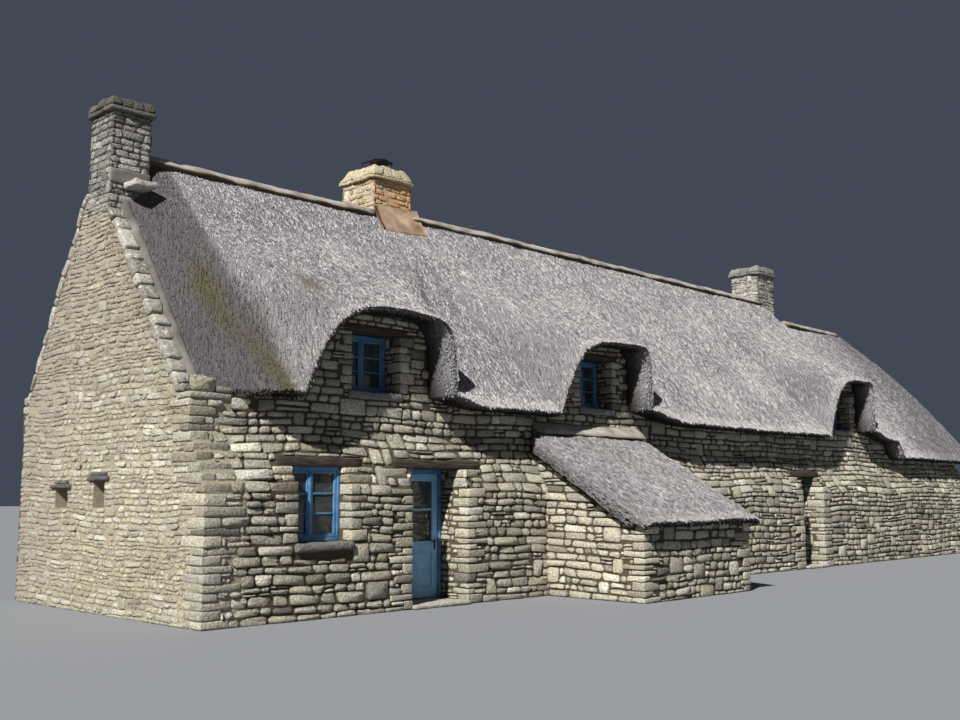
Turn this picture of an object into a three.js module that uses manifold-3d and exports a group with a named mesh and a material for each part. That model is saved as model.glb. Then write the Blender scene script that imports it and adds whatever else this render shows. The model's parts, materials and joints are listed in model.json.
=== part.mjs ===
// Thatched stone cottage, one long storey with lofts under the thatch.
// Millimetres, +Z up. The front faces -Y and the length runs along X.
// Inside the `house` group, x starts at the west gable's outer face, y at the upper
// front wall's face and z at the ground. The group centres the plan on the origin.

import * as THREE from "three";
import { mergeVertices } from "three/addons/utils/BufferGeometryUtils.js";
import Module from "manifold-3d";

const wasm = await Module();
wasm.setup();

// Driving dimensions of the plan
const GAP = 0.3;
const LENGTH = 23750;
const REAR_FACE = 4670;
const WALL = 600;

// The lower front wall is thicker and leans back to the upper wall's face
const BATTER = 400;
const BATTER_FOOT_TOP = 1600;
const BATTER_TOP = 2350;

// Floors
const SILL_LEVEL = 60;
const LOFT_TOP = 2520;
const LOFT_THICKNESS = 140;

// Roof
const RIDGE_Y = 2500;
const HIGH_RIDGE = 6490;
const WEST_SAG = 90;
const GABLE_SINK = 450;
const LOW_DROP = 400;
const EAVE_LEVEL = 2880;
const EAVE_REACH = 420;
const REAR_REACH = 380;
const GABLE_EDGE = 300;
const THATCH_THICKNESS = 560;
const SOFFIT_FALL = 60;
const HIP_SWELL = 250;
const HIP_REACH = 410;
const HIP_RIDGE_END = 22100;
const EAVE_EAST = LENGTH + HIP_REACH;

// Openings of the front wall: x from, x to, z from, z to
const GROUND_WINDOW = { x0: 1330, x1: 2190, z0: 950, z1: 1900 };
const DOOR_ONE = { x0: 3260, x1: 4350, z0: SILL_LEVEL, z1: 1940 };
const DOOR_TWO = { x0: 14380, x1: 15280, z0: SILL_LEVEL, z1: 1940 };
const DORMER_WINDOWS = [
  { name: "west", x0: 2470, x1: 3370, z0: 2980, z1: 3810 },
  { name: "middle", x0: 7440, x1: 8340, z0: 3030, z1: 3880 },
  { name: "east", x0: 16730, x1: 17560, z0: 3030, z1: 3860 },
];
const REAR_WINDOWS = [6200, 12400, 20300].map((x) => ({ x0: x, x1: x + 860, z0: 950, z1: 1850 }));

// Each dormer lifts the eave into an arch, rounded like a superellipse. Its west flank
// leans, its east flank drops steeply at the eave and runs out in a low toe.
const ARCHES = [
  { foot0: 1390, crown: 3290, foot1: 3920, toe: 4900, rise: 1255 },
  { foot0: 6450, crown: 8470, foot1: 8780, toe: 10300, rise: 1295 },
  { foot0: 15720, crown: 17610, foot1: 17820, toe: 19100, rise: 1325 },
];
const ARCH_SQUARENESS = 4.5;
const ARCH_DROP = 0.35;
const TOE_SHARE = 0.16;
const ARCH_SPREAD = 0.6;
const ARCH_FADE = 2200;

// Chimneys: plan, shaft top and cap top
const CHIMNEYS = {
  west: { x0: 0, x1: 570, y0: 2270, y1: 2880, base: 5700, shaft: 6900, cap: 7120 },
  middle: { x0: 4900, x1: 5740, y0: 2450, y1: 3300, base: 0, shaft: 7000, cap: 7290 },
  east: { x0: 17800, x1: 18580, y0: 2450, y1: 3210, base: 0, shaft: 7200, cap: 7440 },
};

// Lean-to against the front wall
const LEANTO = { x0: 6110, x1: 8995, front: -2230, wall: 350, verge: 110 };
const LEANTO_ROOF = { eaveY: -2380, eaveZ: 1190, slope: 0.61, thickness: 330, wallDepth: 160 };

// Finishes, as colour, roughness and metalness
const FINISH = {
  stone: [0x8f8471, 0.92, 0],
  paleStone: [0xb3ab9a, 0.88, 0],
  mortar: [0xbfb19a, 0.9, 0],
  thatch: [0x8b8480, 0.97, 0],
  oak: [0x3b3129, 0.85, 0],
  paint: [0x3f6f9c, 0.5, 0],
  floorboards: [0x7a6248, 0.8, 0],
  sheetMetal: [0x26241f, 0.6, 0.8],
};

const house = new THREE.Group();
house.position.set(-LENGTH / 2, -RIDGE_Y, 0);

function place(name, geometry, finish) {
  const [color, roughness, metalness] = FINISH[finish];
  const material = new THREE.MeshStandardMaterial({ color, roughness, metalness });
  const mesh = new THREE.Mesh(geometry, material);
  mesh.name = name;
  house.add(mesh);
  return mesh;
}

// Small geometry helpers

function lerp(a, b, t) {
  return a + (b - a) * t;
}

function smooth(t) {
  const u = Math.min(Math.max(t, 0), 1);
  return u * u * (3 - 2 * u);
}

function box(x0, x1, y0, y1, z0, z1) {
  const geometry = new THREE.BoxGeometry(x1 - x0, y1 - y0, z1 - z0);
  return geometry.translate((x0 + x1) / 2, (y0 + y1) / 2, (z0 + z1) / 2);
}

// A profile of [y, z] points, extruded along X
function alongX(points, x0, x1) {
  const shape = new THREE.Shape(points.map(([y, z]) => new THREE.Vector2(y, z)));
  const geometry = new THREE.ExtrudeGeometry(shape, { depth: x1 - x0, bevelEnabled: false });
  const turn = new THREE.Matrix4().makeBasis(
    new THREE.Vector3(0, 1, 0),
    new THREE.Vector3(0, 0, 1),
    new THREE.Vector3(1, 0, 0),
  );
  return geometry.applyMatrix4(turn).translate(x0, 0, 0);
}

// A profile of [x, z] points, extruded along Y
function alongY(points, y0, y1) {
  const shape = new THREE.Shape(points.map(([x, z]) => new THREE.Vector2(x, z)));
  const geometry = new THREE.ExtrudeGeometry(shape, { depth: y1 - y0, bevelEnabled: false });
  const turn = new THREE.Matrix4().makeBasis(
    new THREE.Vector3(1, 0, 0),
    new THREE.Vector3(0, 0, 1),
    new THREE.Vector3(0, -1, 0),
  );
  return geometry.applyMatrix4(turn).translate(0, y1, 0);
}

// A closed slab between two grids of points, top[i][j] over under[i][j]
function slab(top, under) {
  const columns = top.length;
  const rows = top[0].length;
  const last = columns - 1;
  const positions = [];
  for (const grid of [top, under]) {
    for (const column of grid) {
      for (const point of column) positions.push(...point);
    }
  }
  const at = (side, i, j) => side * columns * rows + i * rows + j;
  const indices = [];
  const quad = (a, b, c, d) => indices.push(a, b, c, a, c, d);
  for (let i = 0; i < columns - 1; i += 1) {
    for (let j = 0; j < rows - 1; j += 1) {
      quad(at(0, i, j), at(0, i + 1, j), at(0, i + 1, j + 1), at(0, i, j + 1));
      quad(at(1, i, j), at(1, i, j + 1), at(1, i + 1, j + 1), at(1, i + 1, j));
    }
    quad(at(1, i, 0), at(1, i + 1, 0), at(0, i + 1, 0), at(0, i, 0));
    quad(at(0, i, rows - 1), at(0, i + 1, rows - 1), at(1, i + 1, rows - 1), at(1, i, rows - 1));
  }
  for (let j = 0; j < rows - 1; j += 1) {
    quad(at(0, 0, j), at(0, 0, j + 1), at(1, 0, j + 1), at(1, 0, j));
    quad(at(1, last, j), at(1, last, j + 1), at(0, last, j + 1), at(0, last, j));
  }
  const geometry = new THREE.BufferGeometry();
  geometry.setAttribute("position", new THREE.Float32BufferAttribute(positions, 3));
  geometry.setIndex(indices);
  return geometry;
}

function toSolid(geometry) {
  const bare = geometry.clone();
  bare.deleteAttribute("normal");
  bare.deleteAttribute("uv");
  const merged = mergeVertices(bare, 1e-3);
  return new wasm.Manifold(
    new wasm.Mesh({
      numProp: 3,
      vertProperties: Float32Array.from(merged.attributes.position.array),
      triVerts: Uint32Array.from(merged.index.array),
    }),
  );
}

function toGeometry(solid) {
  const { vertProperties, triVerts } = solid.getMesh();
  const geometry = new THREE.BufferGeometry();
  geometry.setAttribute("position", new THREE.Float32BufferAttribute(vertProperties, 3));
  geometry.setIndex(Array.from(triVerts));
  return geometry;
}

function cut(geometry, ...tools) {
  const solid = tools.reduce((rest, tool) => rest.subtract(toSolid(tool)), toSolid(geometry));
  return toGeometry(solid);
}

function join(...geometries) {
  const [first, ...rest] = geometries.map(toSolid);
  return toGeometry(rest.reduce((solid, next) => solid.add(next), first));
}

// Roof surfaces. Ridge and eave step down in the east, the ridge first.

function ridgeDrop(x) {
  return LOW_DROP * smooth((x - 17900) / 1100);
}

function eaveDrop(x) {
  return LOW_DROP * smooth((x - 19150) / 500);
}

// The thatch thins and sinks towards the west gable's coping
function gableDip(x) {
  return 1 - smooth((x - GABLE_EDGE) / 950);
}

// Lift of the eave at x. Further up the slope the arch spreads and its flanks soften.
function archLift(x, spread = 0) {
  const drop = lerp(ARCH_DROP, 1, smooth(spread / 200));
  for (const { foot0, crown, foot1, toe, rise } of ARCHES) {
    const back = Math.min(Math.max((crown - x) / (crown - foot0 + spread), 0), 1);
    const on = Math.min(Math.max((x - crown) / (foot1 - crown + spread), 0), 1);
    const side = 1 - back ** ARCH_SQUARENESS;
    const west = (1.06 * side ** 2) / (side + 0.06);
    const flank = (1 - on ** ARCH_SQUARENESS) ** drop;
    const run = 1 - smooth((x - crown) / (toe - crown + spread));
    const east = lerp(flank, run, TOE_SHARE);
    if (west > 0 && east > 0) return rise * west * east;
  }
  return 0;
}

function eaveEdge(x) {
  const dip = gableDip(x);
  return {
    y: -EAVE_REACH + 670 * dip,
    z: EAVE_LEVEL + 60 * dip - eaveDrop(x) + archLift(x),
    lift: archLift(x),
  };
}

function capHeight(x) {
  return HIGH_RIDGE - WEST_SAG * (1 - smooth((x - 3600) / 3200)) - ridgeDrop(x);
}

function ridgeHeight(x) {
  return capHeight(x) - GABLE_SINK * (1 - smooth((x - GABLE_EDGE) / 420));
}

// The hip and the slopes beside it swell a little between eave and ridge
function swell(x, share) {
  return HIP_SWELL * smooth((x - 19800) / 2000) * Math.sin(Math.PI * share);
}

// Share of the arch's lift left at a run up the slope
function archFade(run) {
  const u = Math.max(run, 0) / ARCH_FADE;
  return u < 1 ? (1 - u) ** 1.25 : 0;
}

function frontTop(x, y) {
  const eave = eaveEdge(x);
  const base = eave.z - eave.lift;
  const run = y - eave.y;
  const share = run / (RIDGE_Y - eave.y);
  const lift = archLift(x, run * ARCH_SPREAD) * archFade(run);
  return lerp(base, ridgeHeight(x), share) + lift + swell(x, share);
}

// The soffit starts at the wall's face, or behind it by the gable
function soffitFoot(x) {
  return Math.max(0, eaveEdge(x).y + 40);
}

function frontUnder(x, y) {
  const eave = eaveEdge(x);
  const foot = soffitFoot(x);
  const base = eave.z - eave.lift - SOFFIT_FALL * (1 + gableDip(x));
  const run = y - foot;
  const lift = archLift(x, Math.max(run, 0) * ARCH_SPREAD) * archFade(run);
  return lerp(base, ridgeHeight(x) - THATCH_THICKNESS, run / (RIDGE_Y - foot)) + lift;
}

// Columns of the front thatch: close together on the flanks of each arch
function frontColumns() {
  const columns = [GABLE_EDGE, 500, 700, 900];
  for (const { foot0, crown, foot1, toe } of ARCHES) {
    for (const t of [1.25, 1.08, 1, 0.96, 0.9, 0.82, 0.72, 0.58, 0.4, 0.2, 0]) columns.push(lerp(crown, foot0, t));
    for (const t of [0.5, 0.72, 0.86, 0.95, 1, 1.4]) columns.push(lerp(crown, foot1, t));
    for (const t of [0.4, 1]) columns.push(lerp(foot1, toe, t));
  }
  columns.push(11600, 13200, 14700, 19320, 19480, 19650, 20400, 21200, 22000, 22800, EAVE_EAST);
  return [...new Set(columns)].sort((a, b) => a - b);
}

const SLOPE_STEPS = [0, 0.035, 0.085, 0.18, 0.3, 0.43, 0.58, 0.72, 0.86, 1];
const UNDER_STEPS = [0, 0.12, 0.24, 0.36, 0.48, 0.6, 0.72, 0.82, 0.91, 1];

function frontThatch() {
  const columns = frontColumns();
  const top = columns.map((x) => {
    const eave = eaveEdge(x);
    return SLOPE_STEPS.map((t) => {
      const y = lerp(eave.y, RIDGE_Y - GAP, t);
      return [x, y, frontTop(x, y)];
    });
  });
  const under = columns.map((x) =>
    UNDER_STEPS.map((t) => {
      const y = lerp(soffitFoot(x), RIDGE_Y - GAP, t);
      return [x, y, frontUnder(x, y)];
    }),
  );
  return cut(slab(top, under), hipPlan(GAP));
}

const REAR_EAVE_Y = REAR_FACE + REAR_REACH;

function rearEave(x) {
  return EAVE_LEVEL - eaveDrop(x) - 130 * gableDip(x);
}

function rearEdge(x) {
  return REAR_EAVE_Y - 330 * gableDip(x);
}

function rearTop(x, y) {
  const share = (y - RIDGE_Y) / (rearEdge(x) - RIDGE_Y);
  return lerp(ridgeHeight(x), rearEave(x), share) + swell(x, share);
}

function rearUnder(x, y) {
  const foot = rearEave(x) - SOFFIT_FALL - 150 * gableDip(x);
  return lerp(ridgeHeight(x) - THATCH_THICKNESS, foot, (y - RIDGE_Y) / (REAR_FACE - RIDGE_Y));
}

function rearColumns() {
  const west = [GABLE_EDGE, 500, 700, 900, 1250, 3600, 5200, 6800, 10500, 14500];
  const east = [17900, 18200, 18600, 19000, 19320, 19480, 19650, 20400, 21200, 22000, EAVE_EAST];
  return [...west, ...east];
}

function rearThatch() {
  const steps = [0, 0.15, 0.35, 0.6, 0.8, 1];
  const top = rearColumns().map((x) =>
    steps.map((t) => {
      const y = lerp(RIDGE_Y + GAP, rearEdge(x), t);
      return [x, y, rearTop(x, y)];
    }),
  );
  const under = rearColumns().map((x) =>
    steps.map((t) => {
      const y = lerp(RIDGE_Y + GAP, REAR_FACE, t);
      return [x, y, rearUnder(x, y)];
    }),
  );
  return cut(slab(top, under), hipPlan(GAP));
}

// The hipped east end: the sector between its two hip lines, seen in plan

function hipPlan(margin) {
  const run = EAVE_EAST - HIP_RIDGE_END;
  const beyond = 2;
  const front = lerp(RIDGE_Y, -EAVE_REACH, beyond);
  const rear = lerp(RIDGE_Y, REAR_EAVE_Y, beyond);
  const shape = new THREE.Shape([
    new THREE.Vector2(HIP_RIDGE_END - margin, RIDGE_Y),
    new THREE.Vector2(HIP_RIDGE_END - margin + beyond * run, front),
    new THREE.Vector2(HIP_RIDGE_END - margin + beyond * run, rear),
  ]);
  return new THREE.ExtrudeGeometry(shape, { depth: 9000, bevelEnabled: false });
}

function hipThatch() {
  const eave = eaveEdge(EAVE_EAST).z;
  const crest = ridgeHeight(EAVE_EAST);
  const ends = [-EAVE_REACH, REAR_EAVE_Y];
  const foot = eave - SOFFIT_FALL;
  const steps = [0, 0.125, 0.25, 0.375, 0.5, 0.625, 0.75, 0.875, 1];
  const outer = (t) => [lerp(HIP_RIDGE_END, EAVE_EAST, t), lerp(crest, eave, t) + swell(LENGTH, t)];
  const inner = (t) => [lerp(HIP_RIDGE_END, LENGTH, t), lerp(crest - THATCH_THICKNESS, foot, t)];
  const rows = (profile) =>
    steps.map((t) => {
      const [x, z] = profile(t);
      return ends.map((y) => [x, y, z]);
    });
  const top = rows(outer);
  const under = rows(inner);
  return toGeometry(toSolid(slab(top, under)).intersect(toSolid(hipPlan(0))));
}

// Masonry is cut to the thatch that lies on it, a hair's breadth below

function lowered(geometry, by) {
  return geometry.clone().translate(0, 0, -by);
}

const thatchFrontBlock = frontThatch();
const thatchRearBlock = rearThatch();
const thatchHipBlock = hipThatch();
const ROOF_BLOCKS = [thatchFrontBlock, thatchRearBlock, thatchHipBlock];

// Where a piece crosses the joint between two blocks, each block is taken three
// times, so that no fin stands in the joint
function clearOfThatch(geometry, by, crossesJoint) {
  const shifts = crossesJoint ? [0, -2 * GAP, 2 * GAP] : [0];
  const tools = ROOF_BLOCKS.flatMap((block) => shifts.map((dx) => lowered(block, by).translate(dx, 0, 0)));
  return cut(geometry, ...tools);
}

function underThatch(geometry, crossesJoint = false) {
  return clearOfThatch(geometry, GAP, crossesJoint);
}

function overThatch(geometry) {
  return clearOfThatch(geometry, -GAP, false);
}

function inflated({ x0, x1, y0, y1 }, z0, z1, gap = GAP) {
  return box(x0 - gap, x1 + gap, y0 - gap, y1 + gap, z0, z1);
}

function placeThatch() {
  const holes = Object.values(CHIMNEYS).map((plan) => inflated(plan, 1000, 9000));
  place("thatch_front", cut(thatchFrontBlock, ...holes), "thatch");
  place("thatch_rear", cut(thatchRearBlock, ...holes), "thatch");
  place("thatch_hip", thatchHipBlock, "thatch");
}

// Mortar ridge cap, in lengths between the chimneys

function ridgeBlade() {
  const columns = frontColumns();
  const edge = (z) => columns.map((x) => [-8, 8].map((dy) => [x, RIDGE_Y + dy, z(x)]));
  return slab(edge((x) => ridgeHeight(x) + GAP), edge((x) => ridgeHeight(x) - 900));
}

const RIDGE_CAP = { rows: [-105, -65, 0, 65, 105], heights: [-90, 15, 50, 15, -90], depth: 330 };

// A low roll of mortar that overhangs the thatch a little on both sides
function ridgeCap(x0, x1) {
  const between = frontColumns().filter((x) => x > x0 + 150 && x < x1 - 150);
  const columns = [x0, ...between, x1];
  const { rows, heights, depth } = RIDGE_CAP;
  const top = columns.map((x) => rows.map((dy, j) => [x, RIDGE_Y + dy, capHeight(x) + heights[j]]));
  const under = top.map((column) => column.map(([x, y]) => [x, y, capHeight(x) - depth]));
  return cut(overThatch(slab(top, under)), ridgeBlade());
}

const RIDGE_STEP_END = 19150;

function placeRidge() {
  const { west, middle, east } = CHIMNEYS;
  place("ridge_cap_west", ridgeCap(west.x1 + GAP, middle.x0 - GAP), "mortar");
  place("ridge_cap_middle", ridgeCap(middle.x1 + GAP, east.x0 - GAP), "mortar");
  place("ridge_cap_east", ridgeCap(RIDGE_STEP_END, HIP_RIDGE_END - 40), "mortar");
}

// West gable: an outer leaf that rises past the thatch under the coping, and an
// inner leaf that carries the thatch

const RAKE = { foot: 310, footZ: 2825, slope: 1.34, rearFoot: 4550, rearFootZ: 2890, rearSlope: 1.74 };
const COPING_RISE = 170;
const SHOULDER = 2800;
const VENTS = [
  { name: "front", y0: 2060, y1: 2370, z0: 1380, z1: 1740 },
  { name: "rear", y0: 3130, y1: 3510, z0: 1370, z1: 1640 },
];

function frontRake(y) {
  return RAKE.footZ + RAKE.slope * (y - RAKE.foot);
}

function rearRake(y) {
  return RAKE.rearFootZ + RAKE.rearSlope * (RAKE.rearFoot - y);
}

const BATTER_LINE = [
  [-BATTER, 0],
  [-BATTER, BATTER_FOOT_TOP],
  [0, BATTER_TOP],
];

function gableWall() {
  const { y0, y1, base } = CHIMNEYS.west;
  const outer = alongX(
    [
      ...BATTER_LINE,
      [0, SHOULDER],
      [RAKE.foot, SHOULDER],
      [RAKE.foot, frontRake(RAKE.foot)],
      [y0, frontRake(y0)],
      [y0, base],
      [y1, base],
      [y1, rearRake(y1)],
      [RAKE.rearFoot, rearRake(RAKE.rearFoot)],
      [RAKE.rearFoot, SHOULDER - 60],
      [REAR_FACE, SHOULDER - 60],
      [REAR_FACE, 0],
    ].reverse(),
    0,
    GABLE_EDGE - GAP,
  );
  const inner = alongX(
    [
      ...BATTER_LINE,
      [0, SHOULDER],
      [280, 2940],
      [RIDGE_Y, 5640],
      [REAR_FACE - 30, 2700],
      [REAR_FACE, 2660],
      [REAR_FACE, 0],
    ].reverse(),
    GABLE_EDGE - GAP,
    WALL,
  );
  const slits = VENTS.map(({ y0: a, y1: b, z0, z1 }) => box(-10, WALL + 10, a, b, z0, z1));
  const stackSeat = box(-10, CHIMNEYS.west.x1 + GAP, y0 - GAP, y1 + GAP, base, 9000);
  return cut(join(outer, underThatch(inner, true)), ...slits, stackSeat);
}

function coping(profile) {
  return alongX(profile, -20, GABLE_EDGE - GAP);
}

function placeGable() {
  const { y0, y1 } = CHIMNEYS.west;
  const kneelerFront = RAKE.foot - 190;
  place("gable_wall_west", gableWall(), "stone");
  place(
    "gable_coping_front",
    coping([
      [y0 - GAP, frontRake(y0 - GAP) + GAP],
      [y0 - GAP, frontRake(y0) + COPING_RISE],
      [RAKE.foot, frontRake(RAKE.foot) + COPING_RISE],
      [kneelerFront, 3010],
      [kneelerFront, SHOULDER + GAP],
      [RAKE.foot - GAP, SHOULDER + GAP],
      [RAKE.foot - GAP, frontRake(RAKE.foot) + GAP],
    ]),
    "paleStone",
  );
  place(
    "gable_coping_rear",
    coping([
      [y1 + GAP, rearRake(y1) + COPING_RISE],
      [y1 + GAP, rearRake(y1) + GAP],
      [RAKE.rearFoot + GAP, rearRake(RAKE.rearFoot) + GAP],
      [RAKE.rearFoot + GAP, SHOULDER - 60 + GAP],
      [RAKE.rearFoot + 140, SHOULDER - 60 + GAP],
      [RAKE.rearFoot + 140, 3000],
      [RAKE.rearFoot + 40, rearRake(RAKE.rearFoot + 40) + COPING_RISE],
    ]),
    "paleStone",
  );
}

// Front wall: battered lower lengths beside the doors, upper lengths with the dormers

const LOWER_TOP = 2040;
const LINTEL = { z0: 1925, z1: LOWER_TOP, y0: -205, y1: WALL };
const LINTELS = [
  { name: "lintel_window_ground", x0: 1140, x1: 2520 },
  { name: "lintel_door_west", x0: 3080, x1: 4790 },
  { name: "lintel_door_east", x0: 14180, x1: 15480 },
];
const UPPER_SPLITS = [WALL, 5400, 12400, LENGTH - WALL];
const SILL = { depth: 70, height: 110, ear: 30, back: 260 };
const DORMER_LINTEL = { ear: 120, height: 90 };

function lintelHoles() {
  return LINTELS.map(({ x0, x1 }) => {
    return box(x0 - GAP, x1 + GAP, -1000, WALL + 10, LINTEL.z0 - GAP, LOWER_TOP + 10);
  });
}

// The battered face's y where the lower walls end
const FACE_AT_TOP = lerp(-BATTER, 0, (LOWER_TOP - BATTER_FOOT_TOP) / (BATTER_TOP - BATTER_FOOT_TOP));

function batteredWall(x0, x1) {
  const profile = [
    [WALL, 0],
    [WALL, LOWER_TOP - GAP],
    [FACE_AT_TOP, LOWER_TOP - GAP],
    [-BATTER, BATTER_FOOT_TOP],
    [-BATTER, 0],
  ];
  return alongX(profile, x0, x1);
}

function windowHole({ x0, x1, z0, z1 }) {
  return box(x0, x1, -2000, WALL + 10, z0, z1);
}

// The ground window stands behind its west jamb, whose stones overlap the frame
const GROUND_FRAME = { ...GROUND_WINDOW, x0: GROUND_WINDOW.x0 - 110, z1: LINTEL.z0, front: -160 };

function rebate({ x0, x1, z0, front }) {
  return box(x0, x1, front - GAP, WALL + 10, z0, LOWER_TOP);
}

function sillBox({ x0, x1, z0 }, front, back) {
  return box(x0 - SILL.ear, x1 + SILL.ear, front, back, z0 - SILL.height, z0 - GAP);
}

function sillHole({ x0, x1, z0 }, back) {
  const reach = SILL.ear + GAP;
  return box(x0 - reach, x1 + reach, -2000, back + GAP, z0 - SILL.height - GAP, z0 + 0.5);
}

function upperWall(x0, x1, openings) {
  const columns = [x0, ...frontColumns().filter((x) => x > x0 + 20 && x < x1 - 20), x1];
  const rows = [0, 160, WALL];
  const crown = (x, y) => (y < soffitFoot(x) ? eaveEdge(x).z - 130 : frontUnder(x, y) + 100);
  const top = columns.map((x) => rows.map((y) => [x, y, crown(x, y)]));
  const under = columns.map((x) => rows.map((y) => [x, y, LOWER_TOP]));
  const toe = alongX(
    [
      [5, LOWER_TOP],
      [5, BATTER_TOP],
      [0, BATTER_TOP],
      [FACE_AT_TOP, LOWER_TOP],
    ],
    x0,
    x1,
  );
  return cut(underThatch(join(slab(top, under), toe)), ...openings);
}

function dormerLintel({ x0, x1, z1 }, front, back, gap) {
  const { ear, height } = DORMER_LINTEL;
  return box(x0 - ear + gap, x1 + ear - gap, front, back, z1 + gap, z1 + height - gap);
}

function placeFrontWalls() {
  const west = cut(
    batteredWall(WALL + GAP, DOOR_ONE.x0),
    windowHole({ ...GROUND_WINDOW, z1: LOWER_TOP }),
    rebate(GROUND_FRAME),
    sillHole(GROUND_WINDOW, -120),
    ...lintelHoles(),
  );
  place("front_wall_west", west, "stone");
  place("front_wall_middle", cut(batteredWall(DOOR_ONE.x1, DOOR_TWO.x0), ...lintelHoles()), "stone");
  place("front_wall_east", cut(batteredWall(DOOR_TWO.x1, LENGTH - WALL - GAP), ...lintelHoles()), "stone");
  for (const { name, x0, x1 } of LINTELS) {
    place(name, box(x0, x1, LINTEL.y0, LINTEL.y1, LINTEL.z0, LINTEL.z1 - GAP), "oak");
  }
  DORMER_WINDOWS.forEach((window, i) => {
    const x0 = UPPER_SPLITS[i] + GAP;
    const x1 = UPPER_SPLITS[i + 1] - GAP;
    const lintel = dormerLintel(window, -10, WALL + 10, 0);
    const openings = [windowHole(window), lintel, sillHole(window, SILL.back)];
    place(`front_wall_upper_${window.name}`, upperWall(x0, x1, openings), "stone");
    place(`lintel_dormer_${window.name}`, dormerLintel(window, 10, WALL, GAP), "oak");
    place(`sill_dormer_${window.name}`, sillBox(window, -50, SILL.back), "paleStone");
  });
  place("sill_window_ground", sillBox(GROUND_WINDOW, -BATTER - SILL.depth, -120), "paleStone");
}

// Rear and east walls, plain, and the floors

function rearWall() {
  const inner = [WALL + GAP, LENGTH - WALL - GAP];
  const between = rearColumns().filter((x) => x > inner[0] + 50 && x < inner[1] - 50);
  const columns = [inner[0], ...between, inner[1]];
  const rows = [REAR_FACE - WALL, REAR_FACE];
  const top = columns.map((x) => rows.map((y) => [x, y, rearUnder(x, y) + 120]));
  const under = columns.map((x) => rows.map((y) => [x, y, 0]));
  const holes = REAR_WINDOWS.map(({ x0, x1, z0, z1 }) => box(x0, x1, 0, 9000, z0, z1));
  return cut(underThatch(slab(top, under)), ...holes);
}

function eastWall() {
  const inner = LENGTH - WALL;
  const rake = alongY(
    [
      [inner, 0],
      [LENGTH, 0],
      [LENGTH, 2620],
      [inner, 3700],
    ],
    -1000,
    6000,
  );
  const section = alongX(
    [
      [-BATTER, 0],
      [REAR_FACE, 0],
      [REAR_FACE, 2560],
      [RIDGE_Y, 5500],
      [0, 2560],
      [0, BATTER_TOP],
      [-BATTER, BATTER_FOOT_TOP],
    ],
    inner,
    LENGTH,
  );
  return underThatch(toGeometry(toSolid(rake).intersect(toSolid(section))), true);
}

function floorPlate(z0, z1) {
  const plate = box(WALL + GAP, LENGTH - WALL - GAP, WALL + GAP, REAR_FACE - WALL - GAP, z0, z1);
  const stacks = [CHIMNEYS.middle, CHIMNEYS.east].map((plan) => inflated(plan, z0 - 10, z1 + 10));
  return cut(plate, ...stacks);
}

function placeShell() {
  place("rear_wall", rearWall(), "stone");
  place("east_wall", eastWall(), "stone");
  place("ground_floor", floorPlate(0, SILL_LEVEL), "stone");
  place("loft_floor", floorPlate(LOFT_TOP - LOFT_THICKNESS, LOFT_TOP), "floorboards");
}

// Chimneys: stack with its flue, and cap

const FLUE_DEPTH = 900;
const FLUE = 260;
const CAP = { slab: 70, overhang: 65, course: 15 };

function flueOf({ x0, x1, y0, y1 }, z0, z1) {
  const x = (x0 + x1 - FLUE) / 2;
  const y = (y0 + y1 - FLUE) / 2;
  return box(x, x + FLUE, y, y + FLUE, z0, z1);
}

// A thin slab that overhangs the shaft, under a heavier course of stones
function chimneyCap(plan) {
  const { shaft, cap } = plan;
  const middle = shaft + CAP.slab;
  const slabLow = inflated(plan, shaft + GAP, middle, CAP.overhang);
  const slabHigh = inflated(plan, middle - 5, cap, CAP.course);
  return cut(join(slabLow, slabHigh), flueOf(plan, shaft - 10, cap + 10));
}

function placeChimneys() {
  for (const [name, plan] of Object.entries(CHIMNEYS)) {
    const { x0, x1, y0, y1, base, shaft } = plan;
    const foot = base > 0 ? base + GAP : 0;
    const stack = cut(box(x0, x1, y0, y1, foot, shaft), flueOf(plan, shaft - FLUE_DEPTH, shaft + 10));
    place(`chimney_${name}_stack`, stack, "stone");
    place(`chimney_${name}_cap`, chimneyCap(plan), "paleStone");
  }
}

// Mortar apron, cowl and drip slab of the chimneys

function chimneyApron() {
  const { x0, x1, y0 } = CHIMNEYS.middle;
  const columns = [x0 + 20, x0 + 400, x1 - 60, x1 + 180];
  const rows = [y0 - 260, y0 - 140, y0 - GAP];
  const heights = [28, 75, 190];
  const top = columns.map((x) => rows.map((y, j) => [x, y, frontTop(x, y) + heights[j]]));
  const under = columns.map((x) => rows.map((y) => [x, y, frontTop(x, y) - 120]));
  const capStart = box(x1 - 1, x1 + 400, RIDGE_Y + RIDGE_CAP.rows[0] - 2, y0 + 100, 0, 9000);
  return cut(overThatch(slab(top, under)), capStart);
}

const COWL = { leg: 20, rise: 150, half: 210, inset: 15, sheet: 8, lift: 45 };

// A folded sheet on four thin legs
function chimneyCowl() {
  const { x0, x1, y0, y1, cap } = CHIMNEYS.middle;
  const { leg, rise, half, inset, sheet, lift } = COWL;
  const centre = [(x0 + x1) / 2, (y0 + y1) / 2];
  const [left, front] = centre.map((middle) => middle - half);
  const [right, back] = centre.map((middle) => middle + half);
  const legs = [];
  for (const x of [left + inset, right - inset - leg]) {
    for (const y of [front + inset, back - inset - leg]) {
      legs.push(box(x, x + leg, y, y + leg, cap + GAP, cap + rise + 4));
    }
  }
  const hood = alongY(
    [
      [left, cap + rise],
      [right, cap + rise],
      [centre[0], cap + rise + lift + sheet],
    ],
    front,
    back,
  );
  return join(hood, ...legs);
}

const DRIP_SLAB = { x0: 180, reach: 370, z0: 5790, z1: 5880 };

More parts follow.
